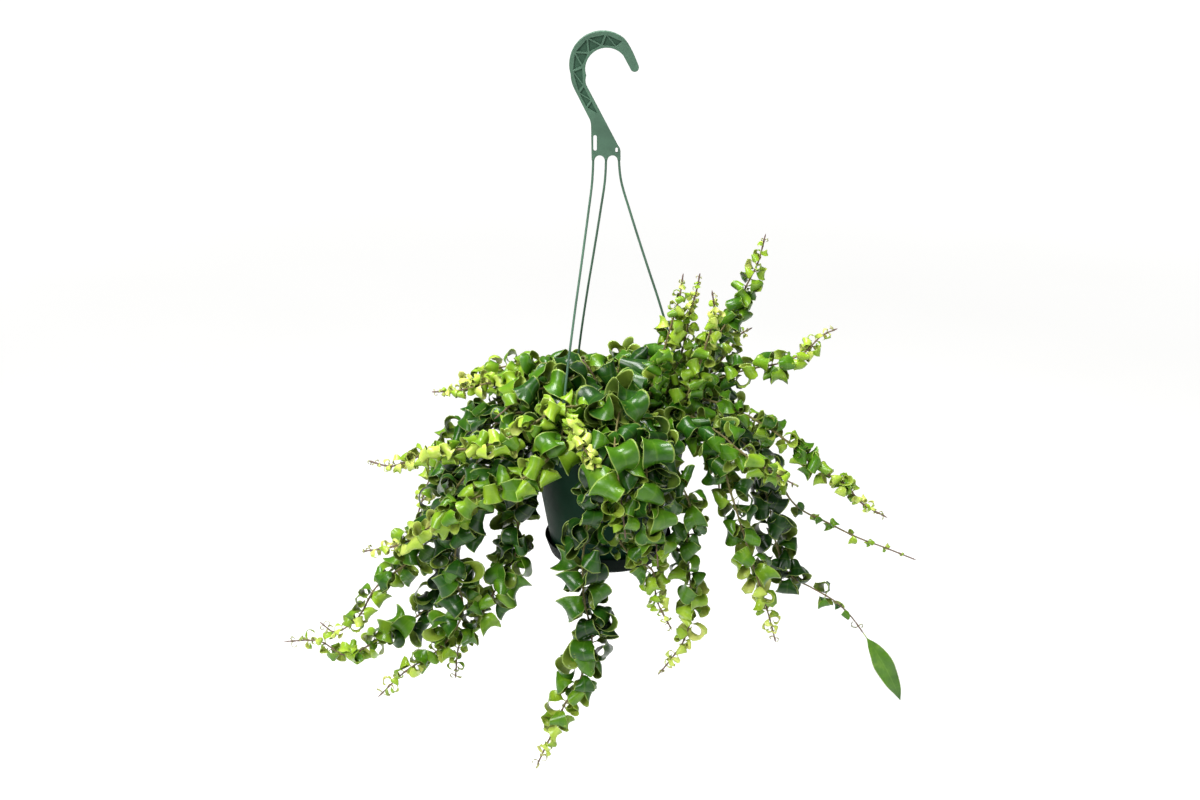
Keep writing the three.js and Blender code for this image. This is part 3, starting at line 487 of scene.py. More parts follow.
def draw(stem, leaf, number):
    """A number from 0 to 1 that depends only on the stem, the leaf and the number of the draw."""
    hashed = HASH_START
    for key in (stem, leaf, number):
        hashed = ((hashed ^ (key + FIRST_KEY)) * HASH_FACTOR) % HASH_RANGE
        hashed ^= hashed >> 13
        hashed = (hashed * HASH_STIR) % HASH_RANGE
        hashed ^= hashed >> 15
    return hashed / HASH_RANGE


def spread(stem, leaves, name):
    """What is drawn under this name for each leaf, from minus to plus half its spread."""
    number, width = DRAWS[name]
    return np.array([(draw(stem, leaf, number) - 0.5) * width for leaf in leaves])


def mix(a, b, share):
    return a + (b - a) * share


print("turns drawn for three leaves:", spread(0, range(3), "turn").round(2))

# %% [markdown]
# A stem's line is a centripetal Catmull-Rom curve: it passes through every point that was chosen,
# without loops. The sideways direction is carried along it without spinning, so that the leaf
# pairs turn by the rule alone.

# %% The line of a stem
FOOT_GAP = 1
COLLAR = 2


def catmull_rom(points, steps):
    """A centripetal Catmull-Rom curve through the points, with steps to each stretch."""
    points = np.asarray(points, float)
    ends = (2 * points[0] - points[1], 2 * points[-1] - points[-2])
    padded = np.vstack([ends[0], points, ends[1]])
    line = []
    for i in range(len(points) - 1):
        p0, p1, p2, p3 = padded[i:i + 4]
        d0, d1, d2 = (np.linalg.norm(b - a) ** 0.5 for a, b in ((p0, p1), (p1, p2), (p2, p3)))
        t1 = ((p1 - p0) / d0 - (p2 - p0) / (d0 + d1) + (p2 - p1) / d1) * d1
        t2 = ((p2 - p1) / d1 - (p3 - p1) / (d1 + d2) + (p3 - p2) / d2) * d1
        for w in np.arange(steps) / steps:
            cubic = (2 * p1 - 2 * p2 + t1 + t2) * w ** 3
            cubic = cubic + (3 * p2 - 3 * p1 - 2 * t1 - t2) * w ** 2
            line.append(cubic + t1 * w + p1)
    line.append(points[-1])
    return np.array(line)


def unit(vectors):
    return vectors / np.linalg.norm(vectors, axis=-1, keepdims=True)


def stem_line(base, route):
    """The stem's points, with the distance, the direction and the sideways direction at each."""
    x, y = base
    foot = (x, y, SOIL_TOP - PLANT_DEPTH + FOOT_GAP)
    line = catmull_rom([foot, (x, y, SOIL_TOP + SOIL_CROWN + COLLAR), *route], ROUTE_STEPS)
    along = np.append(0, np.cumsum(np.linalg.norm(np.diff(line, axis=0), axis=1)))
    before = np.vstack([line[:1], line[:-1]])
    after = np.vstack([line[1:], line[-1:]])
    directions = unit(after - before)
    side = np.array([1.0, 0.0, 0.0])
    sides = []
    for direction in directions:
        side = unit(side - direction * side.dot(direction))
        sides.append(side)
    return line, along, directions, np.array(sides)


lengths = [stem_line(base, route)[1][-1] for _, base, *_, route in STEMS]
print("stems are", round(min(lengths)), "to", round(max(lengths)), "mm long")

# %% [markdown]
# The pairs stand closer and their leaves get smaller over the last part of the stem, down to tiny
# narrow hooks at the growing tip. Each leaf could be placed by hand, but both changes follow from
# one number, the length of stem that is left before the tip.

# %% The leaf pairs
YOUNG_STRETCH = 0.28
GROWTH_CURVE = 0.6
SMALLEST = 0.24
TIP_SPACING = 0.5
BARE_TIP = 3


def at_places(places, stem):
    """The stem's point, direction and side at given distances, with its radius."""
    line, along, directions, sides = stem

    def look_up(values):
        return np.stack([np.interp(places, along, values[:, k]) for k in range(3)], axis=1)

    places = np.asarray(places, float)
    radius = mix(STEM_RADIUS, TIP_RADIUS, places / along[-1])
    return look_up(line), unit(look_up(directions)), unit(look_up(sides)), radius


def pairs_of(stem, stem_size, spacing, sparse_from):
    """Where the leaf pairs of a stem sit, as at_places gives it, and the size of each."""
    length = stem[1][-1]
    places, sizes = [], []
    place = FIRST_PAIR
    while place < length - BARE_TIP:
        left = (length - place) / length / YOUNG_STRETCH
        size = stem_size * max(SMALLEST, min(1, left ** GROWTH_CURVE))
        places.append(place)
        sizes.append(size)
        stretch = SPARSE_SPACING if place > length * sparse_from else 1
        place += PAIR_SPACING * spacing * mix(TIP_SPACING, 1, size / stem_size) * stretch
    return at_places(places, stem), np.array(sizes)


full_sizes = [pairs_of(stem_line(s[1], s[-1]), s[2], s[3], 1)[1] for s in STEMS[:3]]
print("leaf pairs on the first three stems:", [len(sizes) for sizes in full_sizes])

# %% [markdown]
# ## A curled leaf
#
# A real leaf leaves the stem on a short stalk and then bends back under itself, like a wood
# shaving. It could be bent by a modifier, but a leaf that also twists and drifts sideways is
# easier to walk: three directions, the way ahead, the side and the blade's normal, are turned a
# little at each of 24 steps. All leaves of a stem are walked at once, as rows of arrays.
#
# What a leaf is like is drawn first: how far it lifts, turns, twists and sweeps, how its margins
# are cupped and rippled, and its tone, which makes its green look a little older or younger. A
# young leaf is narrow and curls less.

# %% What each leaf is like
LIFT = 0.5
TURN = 6.9
SWEEP = 0.5
CUP = 0.02
RIPPLE = 0.34
YOUNG_SHARE = 0.2
GROWN_SHARE = 0.6
YOUNG_WIDTH = 0.3
YOUNG_TURN = 0.6


def leaf_shapes(index, leaves, share, forms):
    """What each leaf is like, by name, as arrays; forms gives single leaves another shape."""
    grown = np.clip((share - YOUNG_SHARE) / (GROWN_SHARE - YOUNG_SHARE), 0, 1)
    drawn = {name: spread(index, leaves, name) for name in DRAWS}
    shapes = {
        "azimuth": (leaves // 2) * PAIR_TURN + (leaves % 2) * math.pi + drawn["azimuth"],
        "lean": np.zeros(len(leaves)),
        "lift": LIFT + drawn["lift"],
        "roll": drawn["roll"],
        "length": LEAF_LENGTH * (1 + drawn["length"]),
        "width": LEAF_WIDTH * (1 + drawn["width"]) * mix(YOUNG_WIDTH, 1, grown),
        "turn": (TURN + drawn["turn"]) * mix(YOUNG_TURN, 1, grown),
        "twist": drawn["twist"],
        "sweep": np.where(drawn["sign"] < 0, -1, 1) * (SWEEP + drawn["sweep"]),
        "cup": CUP + drawn["cup"],
        "phase": drawn["phase"],
        "ripple": RIPPLE + drawn["ripple"],
        "tone": drawn["tone"] + 0.5,
    }
    for row, form in forms.items():
        for name, value in form.items():
            shapes[name][row] = value
    return shapes


print("a grown leaf turns by about", round(math.degrees(TURN)), "degrees")

# %% [markdown]
# A leaf starts straight out from its stem, and its upper face looks to the light, which comes from
# above and from outside the plant. The walk then bends it step by step. Its outline is a sine that
# is skewed towards the stalk, so that the blade is widest nearer its root.

# %% Walk the leaves
CURL_START = 0.75
CURL_GROWTH = 0.5
OUTWARD = 0.5
OUTWARD_REACH = 30
FORWARD = 0.3
OUTLINE_SKEW = 0.8
OUTLINE_FULLNESS = 0.95
WAVES = 2.2
WAVE_LAG = 2.2


def swing(first, second, angle):
    """Turns two directions that are square to each other, from the first to the second."""
    cos = np.cos(angle)[:, None]
    sin = np.sin(angle)[:, None]
    return first * cos + second * sin, second * cos - first * sin


def leaf_directions(place, shapes):
    """The way ahead, the side and the blade's normal where each leaf leaves the stem."""
    point, direction, side, _ = place
    out, _ = swing(side, np.cross(direction, side), shapes["azimuth"])
    out, _ = swing(out, direction, shapes["lean"])
    radial = point * (1, 1, 0)
    radial = radial / (np.linalg.norm(radial, axis=1, keepdims=True) + OUTWARD_REACH) * OUTWARD
    light = np.array([0, 0, 1]) + radial + direction * FORWARD
    light = unit(light - out * (light * out).sum(axis=1, keepdims=True))
    tangent, normal = swing(out, light, shapes["lift"])
    sideways, normal = swing(np.cross(tangent, normal), normal, shapes["roll"])
    return tangent, sideways, normal


def half_widths(blade, radius, full):
    """Half of each leaf's width at a share of its blade; a thin stalk comes before the blade."""
    outline = 0
    if 0 < blade < 1:
        outline = math.sin(math.pi * blade ** OUTLINE_SKEW) ** OUTLINE_FULLNESS
    return np.maximum(PETIOLE_SHARE * radius * (1 - blade), full / 2 * outline)


def walk_leaves(place, sizes, shapes):
    """For each step, every leaf's centre, side, normal, half width and two margins, and u."""
    tangent, sideways, normal = leaf_directions(place, shapes)
    centre = place[0].copy()
    stride = (shapes["length"] * sizes / LEAF_STEPS)[:, None]
    steps = []
    for i in range(LEAF_STEPS + 1):
        u = i / LEAF_STEPS
        blade = max(0, (u - PETIOLE) / (1 - PETIOLE))
        half = half_widths(blade, place[3], sizes * shapes["width"])
        wave = 2 * math.pi * WAVES * u + shapes["phase"]
        margins = [
            (shapes["cup"] + shapes["ripple"] * np.sin(wave + lag)) * (blade > 0)
            for lag in (0, WAVE_LAG)
        ]
        steps.append((centre.copy(), sideways, normal, half, margins, u))
        if blade > 0:
            bend = -shapes["turn"] * (CURL_START + CURL_GROWTH * u) / LEAF_STEPS
            tangent, normal = swing(tangent, normal, bend)
            sideways, normal = swing(sideways, normal, shapes["twist"] / LEAF_STEPS)
            tangent, sideways = swing(tangent, sideways, shapes["sweep"] / LEAF_STEPS)
        centre = centre + tangent * stride
    return steps


middle_width = half_widths(0.5, TIP_RADIUS, LEAF_WIDTH) * 2
print("a leaf is", round(float(middle_width), 1), "mm wide half way along its blade")

# %% [markdown]
# The blade gets a real thickness: its section is a closed ring of twelve points, thick along the
# midrib and thin at the margins, with a shallow groove above the midrib. A narrow last strip along
# each margin keeps the edge crisp under smooth shading. Each point also remembers where it lies on
# its leaf, and the material reads that.

# %% The skin of the leaves
SECTION = [-1, -0.9, -0.45, 0, 0.45, 0.9, 1, 0.9, 0.45, 0, -0.45, -0.9]
TOP_POINTS = 7
BLADE_THICKNESS = 1.0
SMALL_THICKNESS = 0.55
EDGE_THINNING = 0.7
TIP_TAPER = 0.12
CUP_CURVE = 1.7
GROOVE = 0.12
GROOVE_WIDTH = 8


def ring_quads(rings, sides):
    """The quads between rings of points that follow one another."""
    here = np.arange((rings - 1) * sides).reshape(-1, sides)
    ahead = here + sides
    corners = [here, np.roll(here, -1, 1), np.roll(ahead, -1, 1), ahead]
    return np.stack(corners, axis=2).reshape(-1, 4)


def leaf_skin(steps, sizes, looks):
    """Points, quads and the two attributes of leaves that have the same number of stations."""
    count, ring = len(sizes), len(SECTION)
    thickness = BLADE_THICKNESS * mix(SMALL_THICKNESS, 1, np.minimum(sizes, 1))
    points = np.zeros((count, len(steps), ring, 3))
    where = np.zeros((count, len(steps), ring, 3))
    for i, (centre, side, normal, half, margins, u) in enumerate(steps):
        taper = min(1, (1 - u) / TIP_TAPER)
        for k, v in enumerate(SECTION):
            margin = margins[0] if v < 0 else margins[1]
            height = margin * half * abs(v) ** CUP_CURVE
            if k >= TOP_POINTS:
                height = height - thickness * (1 - EDGE_THINNING * v * v) * taper
            elif v == 0:
                height = height - GROOVE * np.minimum(1, half / GROOVE_WIDTH) * taper
            points[:, i, k] = centre + side * (half * v)[:, None] + normal * height[:, None]
            where[:, i, k] = (u, v, k >= TOP_POINTS)
    per_leaf = len(steps) * ring
    starts = np.arange(count)[:, None, None] * per_leaf
    faces = (ring_quads(len(steps), ring) + starts).reshape(-1, 4)
    looks = np.repeat(looks, per_leaf, axis=0)
    return points.reshape(-1, 3), faces, where.reshape(-1, 3), looks


print("a large leaf has", 2 * len(ring_quads(LEAF_STEPS + 1, len(SECTION))), "triangles")

# %% [markdown]
# ## The stem itself
#
# A stem is a tube round its line, thicker at the root. A curve with a bevel would give that too,
# but not the slight swelling at every pair of leaves, so the rings are laid one by one. It is finer
# than the packed model's three-sided one.

# %% The skin of a stem
STEM_SIDES = 8
FINE_STEM = 0.62
NODE_SWELL = 0.45
SWELL_REACH = 1.6
STEM_END = 0.3


def tube_points(line, radii, side, across, sides):
    """Rings of points round a line, with a radius and two directions at each of its points."""
    angles = 2 * math.pi * np.arange(sides) / sides
    rings = [line + radii[:, None] * (side * math.cos(a) + across * math.sin(a)) for a in angles]
    return np.stack(rings, axis=1).reshape(-1, 3)


def stem_skin(stem, places):
    """Points, quads and distances of the tube round a stem's line, which swells at the places."""
    line, along, directions, sides = stem
    radii = FINE_STEM * mix(STEM_RADIUS, TIP_RADIUS, along / along[-1])
    nearest = np.abs(along[:, None] - np.asarray(places)[None]).min(axis=1)
    radii = radii * (1 + NODE_SWELL * np.exp(-(nearest / SWELL_REACH) ** 2))
    radii[-1] *= STEM_END
    points = tube_points(line, radii, sides, np.cross(directions, sides), STEM_SIDES)
    return points, ring_quads(len(line), STEM_SIDES), np.repeat(along / along[-1], STEM_SIDES)


thick, thin = (round(2 * FINE_STEM * radius, 1) for radius in (STEM_RADIUS, TIP_RADIUS))
print("a stem is", thick, "mm thick at its root and", thin, "mm at its tip")

# %% [markdown]
# ## The finish of the leaves
#
# Young leaves are lime, grown ones are a deep glossy green, and every leaf has a pale margin, a
# faint midrib and a yellower underside. An image could hold all that, but masks on the place
# across the blade stay sharp from any distance and fit every leaf. A colour ramp runs over the age
# that each leaf carries, moved a little by the leaf's own tone and by clouds. The hooks at the
# growing tips are brownish grey.
#
# In the masks, u runs from 0 at the stalk to 1 at the tip, and v from -1 to 1 across the blade,
# with 0 on the midrib. So a step of abs(v) from 0.88 to 0.99 is a narrow strip along each margin.

# %% Paint the leaves
UPPER_FACE = [
    (0.0, (196, 210, 100)), (0.22, (136, 168, 38)), (0.5, (70, 115, 12)),
    (0.75, (30, 74, 8)), (1.0, (10, 40, 6)),
]
UNDERSIDE = [(0.0, (206, 208, 122)), (0.4, (134, 156, 50)), (1.0, (44, 70, 20))]
MARGIN_GREEN = (172, 194, 98)
MIDRIB_GREEN = (176, 200, 96)
VEIN_GREEN = (150, 190, 90)
STALK_GREEN = (166, 170, 96)
HOOK_GREY = (122, 116, 92)
VEIN_SLANT = 9
VEIN_RATE = 46

leaf_finish = Finish(
    "leaf_skin",
    Coat_Weight=0.32,
    Coat_Roughness=0.2,
    Subsurface_Weight=0.05,
    Subsurface_Radius=(0.004, 0.006, 0.001),
    IOR=1.42,
    Specular_IOR_Level=0.26,
)
u, v, below = leaf_finish.attribute("leaf_place")
age, tone, hook = leaf_finish.attribute("leaf_look")
clouds = (leaf_finish.noise(70) - 0.5) * 0.4
aged = age + (tone - 0.5) * 0.4 + clouds - u.step(0.5, 0.1) * 0.1 + u.step(0.6, 1) * 0.15
under = below.step(0.35, 0.65)
margin = abs(v).step(0.88, 0.99)
midrib = abs(v).step(0.1, 0.02) * u.step(1.0, 0.8)
veins = (abs(v) * VEIN_SLANT - u * VEIN_RATE).sine().step(0.82, 1.0) * abs(v).step(0.95, 0.6)
stalk = u.step(0.12, 0.02)
colour = leaf_finish.mix(
    under, leaf_finish.ramp(aged, UPPER_FACE), leaf_finish.ramp(aged, UNDERSIDE))
for mask, tint in (
    (margin * 0.6, MARGIN_GREEN), (midrib * 0.05, MIDRIB_GREEN), (veins * 0.015, VEIN_GREEN),
    (stalk * 0.6, STALK_GREEN), (hook * 0.7, HOOK_GREY),
):
    colour = leaf_finish.mix(mask, colour, tint)
height = veins * -0.12 + midrib * -0.1 + leaf_finish.noise(900, 2) * 0.25
leaf_finish.paint(
    Base_Color=colour,
    Roughness=0.28 + leaf_finish.noise(160) * 0.14 + under * 0.16,
    Normal=leaf_finish.bump(height, 0.0003),
)
leaf_finish.report()

# %% [markdown]
# Old stems are woody beige and olive, and the young ends are thin and purple-grey. A ramp over the
# share of the stem's length gives both, and flecks of noise break it up as bark does.

# %% Paint the stems
BARK = [(0.0, (92, 82, 48)), (0.45, (112, 108, 58)), (0.75, (112, 98, 62)), (1.0, (104, 82, 74))]
FLECK_BROWN = (84, 72, 50)

bark_finish = Finish("stem_bark", IOR=1.45)
from_root, _, _ = bark_finish.attribute("leaf_place")
fleck = bark_finish.noise(420, 4)
bark = bark_finish.ramp(from_root, BARK)
bark_finish.paint(
    Base_Color=bark_finish.mix(fleck.step(0.5, 0.75) * 0.35, bark, FLECK_BROWN),
    Roughness=0.5 + fleck * 0.2,
    Normal=bark_finish.bump(bark_finish.noise(1500), 0.0003),
)
bark_finish.report()

# %% [markdown]
# ## Grow every stem
#
# First every leaf of a stem gets its place, its size and its looks. A leaf is the older the nearer
# it sits to the root, and small leaves are younger still.

# %% The leaves of one stem
AGE_CURVE = 3
SMALL_LEAF_AGE = 0.6
HOOK_SHARE = 0.34
HOOK_FADE = 0.08


def leaves_of(name, stem, size, spacing):
    """A stem's leaves: their numbers, places and sizes, and the form of any that has its own."""
    place, sizes = pairs_of(stem, size, spacing, SPARSE_FROM.get(name, 1))
    place = [np.repeat(values, 2, axis=0) for values in place]
    sizes = np.repeat(sizes, 2)
    forms = {}
    if name == LAST_LEAF_STEM:
        tip = at_places([stem[1][-1] - LAST_LEAF_GAP], stem)
        place = [np.concatenate([values, end]) for values, end in zip(place, tip)]
        place[3][-1] = TIP_RADIUS
        sizes = np.append(sizes, 1.0)
        forms[len(sizes) - 1] = LAST_LEAF
    return np.arange(len(sizes)), place, sizes, forms


def looks_of(tones, share, distance, ages, forms):
    """Each leaf's age and tone, and whether it is one of the hooks at the tip."""
    leaf_ages = mix(*ages, distance ** AGE_CURVE)
    leaf_ages = leaf_ages * mix(SMALL_LEAF_AGE, 1, np.minimum(1, share))
    for row in forms:
        leaf_ages[row] = LAST_LEAF_AGE
    hooks = np.clip((HOOK_SHARE - share) / HOOK_FADE, 0, 1)
    return np.stack([leaf_ages, tones, hooks], axis=1)


print("leaves below", HOOK_SHARE, "of the full size turn into hooks")

# %% [markdown]
# Then one function grows a stem from its line to its mesh. The piece stands for the packed model's
# stem of the same name and rides on the one body there is. Small leaves use only every second step
# of the walk: it hardly shows on their tight curls, and the whole plant has to stay under a million
# triangles.

# %% Grow the plant
SMALL_LEAF = 0.78


def joined(skins):
    """Several skins as one, with the faces counted on."""
    starts = np.cumsum([0] + [len(points) for points, *_ in skins])
    faces = [faces + start for (_, faces, *_), start in zip(skins, starts)]
    points, _, where, look = (np.vstack(values) for values in zip(*skins))
    return points, np.vstack(faces), where, look


def all_leaf_skins(steps, sizes, looks):
    """The skins of a stem's large leaves, and of its small ones with half of the steps."""
    skins = []
    for chosen, stride in ((sizes >= SMALL_LEAF, 1), (sizes < SMALL_LEAF, 2)):
        some = [
            (*(values[chosen] for values in step[:4]), [m[chosen] for m in step[4]], step[5])
            for step in steps[::stride]
        ]
        skins.append(leaf_skin(some, sizes[chosen], looks[chosen]))
    return skins


def grow(index, name, base, size, spacing, ages, route):
    """Makes the fine piece of one leafy stem and returns its numbers of leaves and triangles."""
    stem = line, along, _, _ = stem_line(base, route)
    numbers, place, sizes, forms = leaves_of(name, stem, size, spacing)
    share = sizes / size
    shapes = leaf_shapes(index, numbers, share, forms)
    nearest = np.linalg.norm(place[0][:, None] - line[None], axis=2).argmin(axis=1)
    looks = looks_of(shapes["tone"], share, along[nearest] / along[-1], ages, forms)
    skins = all_leaf_skins(walk_leaves(place, sizes, shapes), sizes, looks)
    leaf_faces = sum(len(faces) for _, faces, *_ in skins)
    tube, tube_faces, tube_share = stem_skin(stem, along[nearest][::2])
    nothing = tube_share * 0
    tube_where = np.stack([tube_share, nothing, nothing], 1)
    tube_look = np.stack([mix(*ages, tube_share), nothing, nothing], 1)
    points, faces, where, look = joined([*skins, (tube, tube_faces, tube_where, tube_look)])
    materials = [leaf_finish.material, bark_finish.material]
    made = mesh_object("vine_" + name, points, faces.tolist(), materials)
    slots = np.repeat([0, 1], [leaf_faces, len(tube_faces)])
    made.data.polygons.foreach_set("material_index", slots)
    for kept, values in (("leaf_place", where), ("leaf_look", look)):
        attribute = made.data.attributes.new(kept, "FLOAT_VECTOR", "POINT")
        attribute.data.foreach_set("vector", np.asarray(values, np.float32).ravel())
    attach(made, "root")
    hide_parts("stem_" + name)
    return len(sizes), 2 * len(faces)


grown = [grow(index, *stem) for index, stem in enumerate(STEMS)]
print("leaves:", sum(n for n, _ in grown), "triangles:", sum(t for _, t in grown))

# %% [markdown]
# ## The plastic
#
# The pot, the saucer and the hanger are thin polypropylene in three greens. A fourth, a little
# darker than the hanger's, is painted shade: it darkens the bottom of the hook plate's pockets,
# where the ribs shade it. New plastic of this kind is satin, with a faint cloudiness in its colour
# and a fine orange-peel on its surface.
# Each green could be a material of its own, but one function mixes them all from a tint, a
# roughness and how much they gleam.

# %% Mix the plastics
DEEPER = 0.84


def plastic(name, tint, roughness, gleam):
    finish = Finish(name, IOR=1.46, Specular_IOR_Level=gleam)
    deep = tuple(DEEPER * c for c in tint)
    finish.paint(
        Base_Color=finish.mix(finish.noise(30).step(0.3, 0.7), deep, tint),
        Roughness=roughness + finish.noise(240) * 0.12,
        Normal=finish.bump(finish.noise(2500, 2), 0.0001),
    )
    finish.report()
    return finish.material


pot_green = plastic("pot_green", (11, 50, 32), roughness=0.46, gleam=0.08)
saucer_green = plastic("saucer_green", (6, 22, 15), roughness=0.5, gleam=0.06)
hanger_green = plastic("hanger_green", (74, 106, 86), roughness=0.42, gleam=0.35)
# The next green is painted shade: a darker copy of the hanger's green for the pocket bottoms.
pocket_green = plastic("pocket_green", (54, 84, 66), roughness=0.55, gleam=0.15)

# %% [markdown]
# ## Turned pieces
#
# A pot is moulded round an axis, so its section is drawn once and turned. A real moulded edge is
# never sharp: each corner of the section is replaced by a small arc before it is turned.

# %% Round a section and turn it
LONGEST_REACH = 0.45


def rounded(profile, radius, steps=4):
    """The same open profile with every inner corner replaced by an arc of about this radius."""
    profile = np.asarray(profile, float)
    smooth = [profile[0]]
    for before, corner, after in zip(profile, profile[1:], profile[2:]):
        into, out = corner - before, after - corner
        reach = min(radius, *(LONGEST_REACH * np.linalg.norm(edge) for edge in (into, out)))
        smooth.extend(bend(corner - unit(into) * reach, corner, corner + unit(out) * reach, steps))
    return np.array([*smooth, profile[-1]])


def bend(start, pull, end, steps=8):
    """A smooth arc from start to end that is drawn towards the pull."""
    t = np.linspace(0, 1, steps)[:, None]
    start, pull, end = (np.asarray(point, float) for point in (start, pull, end))
    return (1 - t) ** 2 * start + 2 * t * (1 - t) * pull + t * t * end


def turned(name, profile, sides, material):
    """The piece that a section makes round the Z axis; both of its ends lie on the axis."""
    angles = 2 * math.pi * np.arange(sides) / sides
    middle = profile[1:-1]
    points = [(r * math.cos(a), r * math.sin(a), z) for r, z in middle for a in angles]
    faces = ring_quads(len(middle), sides).tolist()
    for end, ring in ((profile[0], 0), (profile[-1], len(middle) - 1)):
        points.append((0, 0, end[1]))
        for k in range(sides):
            fan = (ring * sides + k, len(points) - 1, ring * sides + (k + 1) % sides)
            faces.append(fan if ring else fan[::-1])
    return mesh_object(name, points, faces, [material])


def settle(made, node, crease=35):
    """Stands a piece in for its packed node, with edges sharper than the crease kept crisp."""
    made.data.set_sharp_from_angle(angle=math.radians(crease))
    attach(made, "root")
    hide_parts(node)
    print(made.name, len(made.data.polygons), "faces")


print("a rounded corner has", len(rounded([(0, 0), (9, 0), (9, 9)], 1)) - 2, "points")

# %% [markdown]
# ## The pot
#
# A thin wall tapers down to a foot with a soft edge, and a rolled rim stiffens the top. The pot
# could be built from a cylinder and an inner cylinder, but one section that goes up the outside
# and down the inside gives the wall its thickness and the rim its shape at once.

# %% Turn the pot
POT_HEIGHT = 136
POT_FOOT = RIM_TOP - POT_HEIGHT
WALL = 1.8
WALL_TOP_RADIUS = 83
FOOT_RADIUS = 60
FOOT_CHAMFER = 4
RIM_RADIUS = 86.5
RIM_WIDTH = 4.5
RIM_DROP = 7
RIM_FLARE = 0.6
RIM_SLOPE = 0.4
POT_ROUNDING = 1.8
POT_SIDES = 128


def wall_radius(z):
    """The outer radius of the pot's wall at a height."""
    return FOOT_RADIUS + (z - POT_FOOT) * (WALL_TOP_RADIUS - FOOT_RADIUS) / POT_HEIGHT


rim_bottom = RIM_TOP - RIM_DROP
foot_top = POT_FOOT + FOOT_CHAMFER
pot = turned("pot_fine", rounded([
    (0, POT_FOOT),
    (FOOT_RADIUS - FOOT_CHAMFER, POT_FOOT),
    (wall_radius(foot_top), foot_top),
    (wall_radius(rim_bottom), rim_bottom),
    (RIM_RADIUS, rim_bottom + RIM_FLARE),
    (RIM_RADIUS, RIM_TOP),
    (RIM_RADIUS - RIM_WIDTH - WALL, RIM_TOP - RIM_SLOPE),
    (wall_radius(rim_bottom) - WALL, rim_bottom),
    (wall_radius(foot_top) - WALL, foot_top),
    (FOOT_RADIUS - FOOT_CHAMFER - WALL, POT_FOOT + WALL),
    (0, POT_FOOT + WALL),
], POT_ROUNDING), POT_SIDES, pot_green)
print("pot:", round(2 * RIM_RADIUS), "mm across its rim")

# %% [markdown]
# Seven holes in the foot let water out, and three notches in the rim take the hanger's clips. A
# turned section can't have them, so the Boolean modifier cuts them out as a punch would: each
# cutter is placed, subtracted and removed again.

# %% Cut the pot's holes and notches
DRAIN_HOLES = 6
DRAIN_RADIUS = 4
DRAIN_CIRCLE = 38
CENTRE_HOLE = 7
HOLE_DEPTH = 4
SLOT_WIDTH = 3.5
STRAND_INSET = 2.1
STRAND_CIRCLE = RIM_RADIUS - STRAND_INSET
STRAND_AZIMUTHS = (235, 115, -5)


def cut(made, cutter):
    """Cuts one mesh object out of another, and removes the cutter."""
    modifier = made.modifiers.new("cut", "BOOLEAN")
    modifier.object = cutter
    modifier.solver = "EXACT"
    graph = bpy.context.evaluated_depsgraph_get()
    finished = bpy.data.meshes.new_from_object(made.evaluated_get(graph))
    made.modifiers.clear()
    made.data = finished
    bpy.data.objects.remove(cutter)


def drill(radius, x, y, z, height, sides=32):
    """An upright round cutter about a point."""
    section = [(0, z - height), (radius, z - height), (radius, z + height), (0, z + height)]
    cutter = turned("drill", np.array(section, float), sides, pot_green)
    cutter.data.transform(Matrix.Translation((x * MM, y * MM, 0)))
    return cutter


cut(pot, drill(CENTRE_HOLE, 0, 0, POT_FOOT, HOLE_DEPTH))
for angle in 2 * math.pi * np.arange(DRAIN_HOLES) / DRAIN_HOLES:
    spot = (DRAIN_CIRCLE * math.cos(angle), DRAIN_CIRCLE * math.sin(angle))
    cut(pot, drill(DRAIN_RADIUS, *spot, POT_FOOT, HOLE_DEPTH))
for azimuth in STRAND_AZIMUTHS:
    bpy.ops.mesh.primitive_cube_add(size=1)
    notch = bpy.context.object
    box = Matrix.Diagonal((2 * SLOT_WIDTH * MM, SLOT_WIDTH * MM, 3 * RIM_DROP * MM, 1))
    spot = ((STRAND_CIRCLE + SLOT_WIDTH / 2) * MM, 0, (RIM_TOP - RIM_DROP / 2) * MM)
    turn = Matrix.Rotation(math.radians(azimuth), 4, "Z")
    notch.data.transform(turn @ Matrix.Translation(spot) @ box)
    cut(pot, notch)
settle(pot, "pot")

# %% [markdown]
# ## The saucer
#
# The saucer catches what drains from the pot, and a small boss in its middle snaps into the pot's
# centre hole. It could be spun with the Screw modifier, but the function that turned the pot does
# it with the same soft edges.

# %% Turn the saucer
GAP = 0.3
SAUCER_HEIGHT = 19
SAUCER_CHAMFER = 3
SAUCER_RADIUS = 68
SAUCER_BASE_RADIUS = 62.5
SAUCER_WALL = 1.6
SAUCER_ROUNDING = 0.8
BOSS_RADIUS = 5
BOSS_HEIGHT = 6

saucer_floor = POT_FOOT - GAP
saucer_foot = saucer_floor - SAUCER_WALL
saucer_rim = saucer_foot + SAUCER_HEIGHT
saucer = turned("saucer_fine", rounded([
    (0, saucer_foot),
    (SAUCER_BASE_RADIUS - SAUCER_CHAMFER, saucer_foot),
    (SAUCER_BASE_RADIUS, saucer_foot + SAUCER_CHAMFER),
    (SAUCER_RADIUS, saucer_rim),
    (SAUCER_RADIUS - SAUCER_WALL, saucer_rim),
    (SAUCER_BASE_RADIUS - SAUCER_WALL, saucer_floor + SAUCER_CHAMFER / 2),
    (SAUCER_BASE_RADIUS - SAUCER_CHAMFER, saucer_floor),
    (BOSS_RADIUS, saucer_floor),
    (BOSS_RADIUS, saucer_floor + BOSS_HEIGHT),
    (0, saucer_floor + BOSS_HEIGHT),
], SAUCER_ROUNDING), POT_SIDES, saucer_green)
settle(saucer, "saucer")

# %% [markdown]
# ## The soil
#
# Peat is a heap of dark crumbs with a few paler clods. A bumpy disc alone would look like cloth,
# so a rough disc gives the mass and 620 loose crumbs break up its surface.

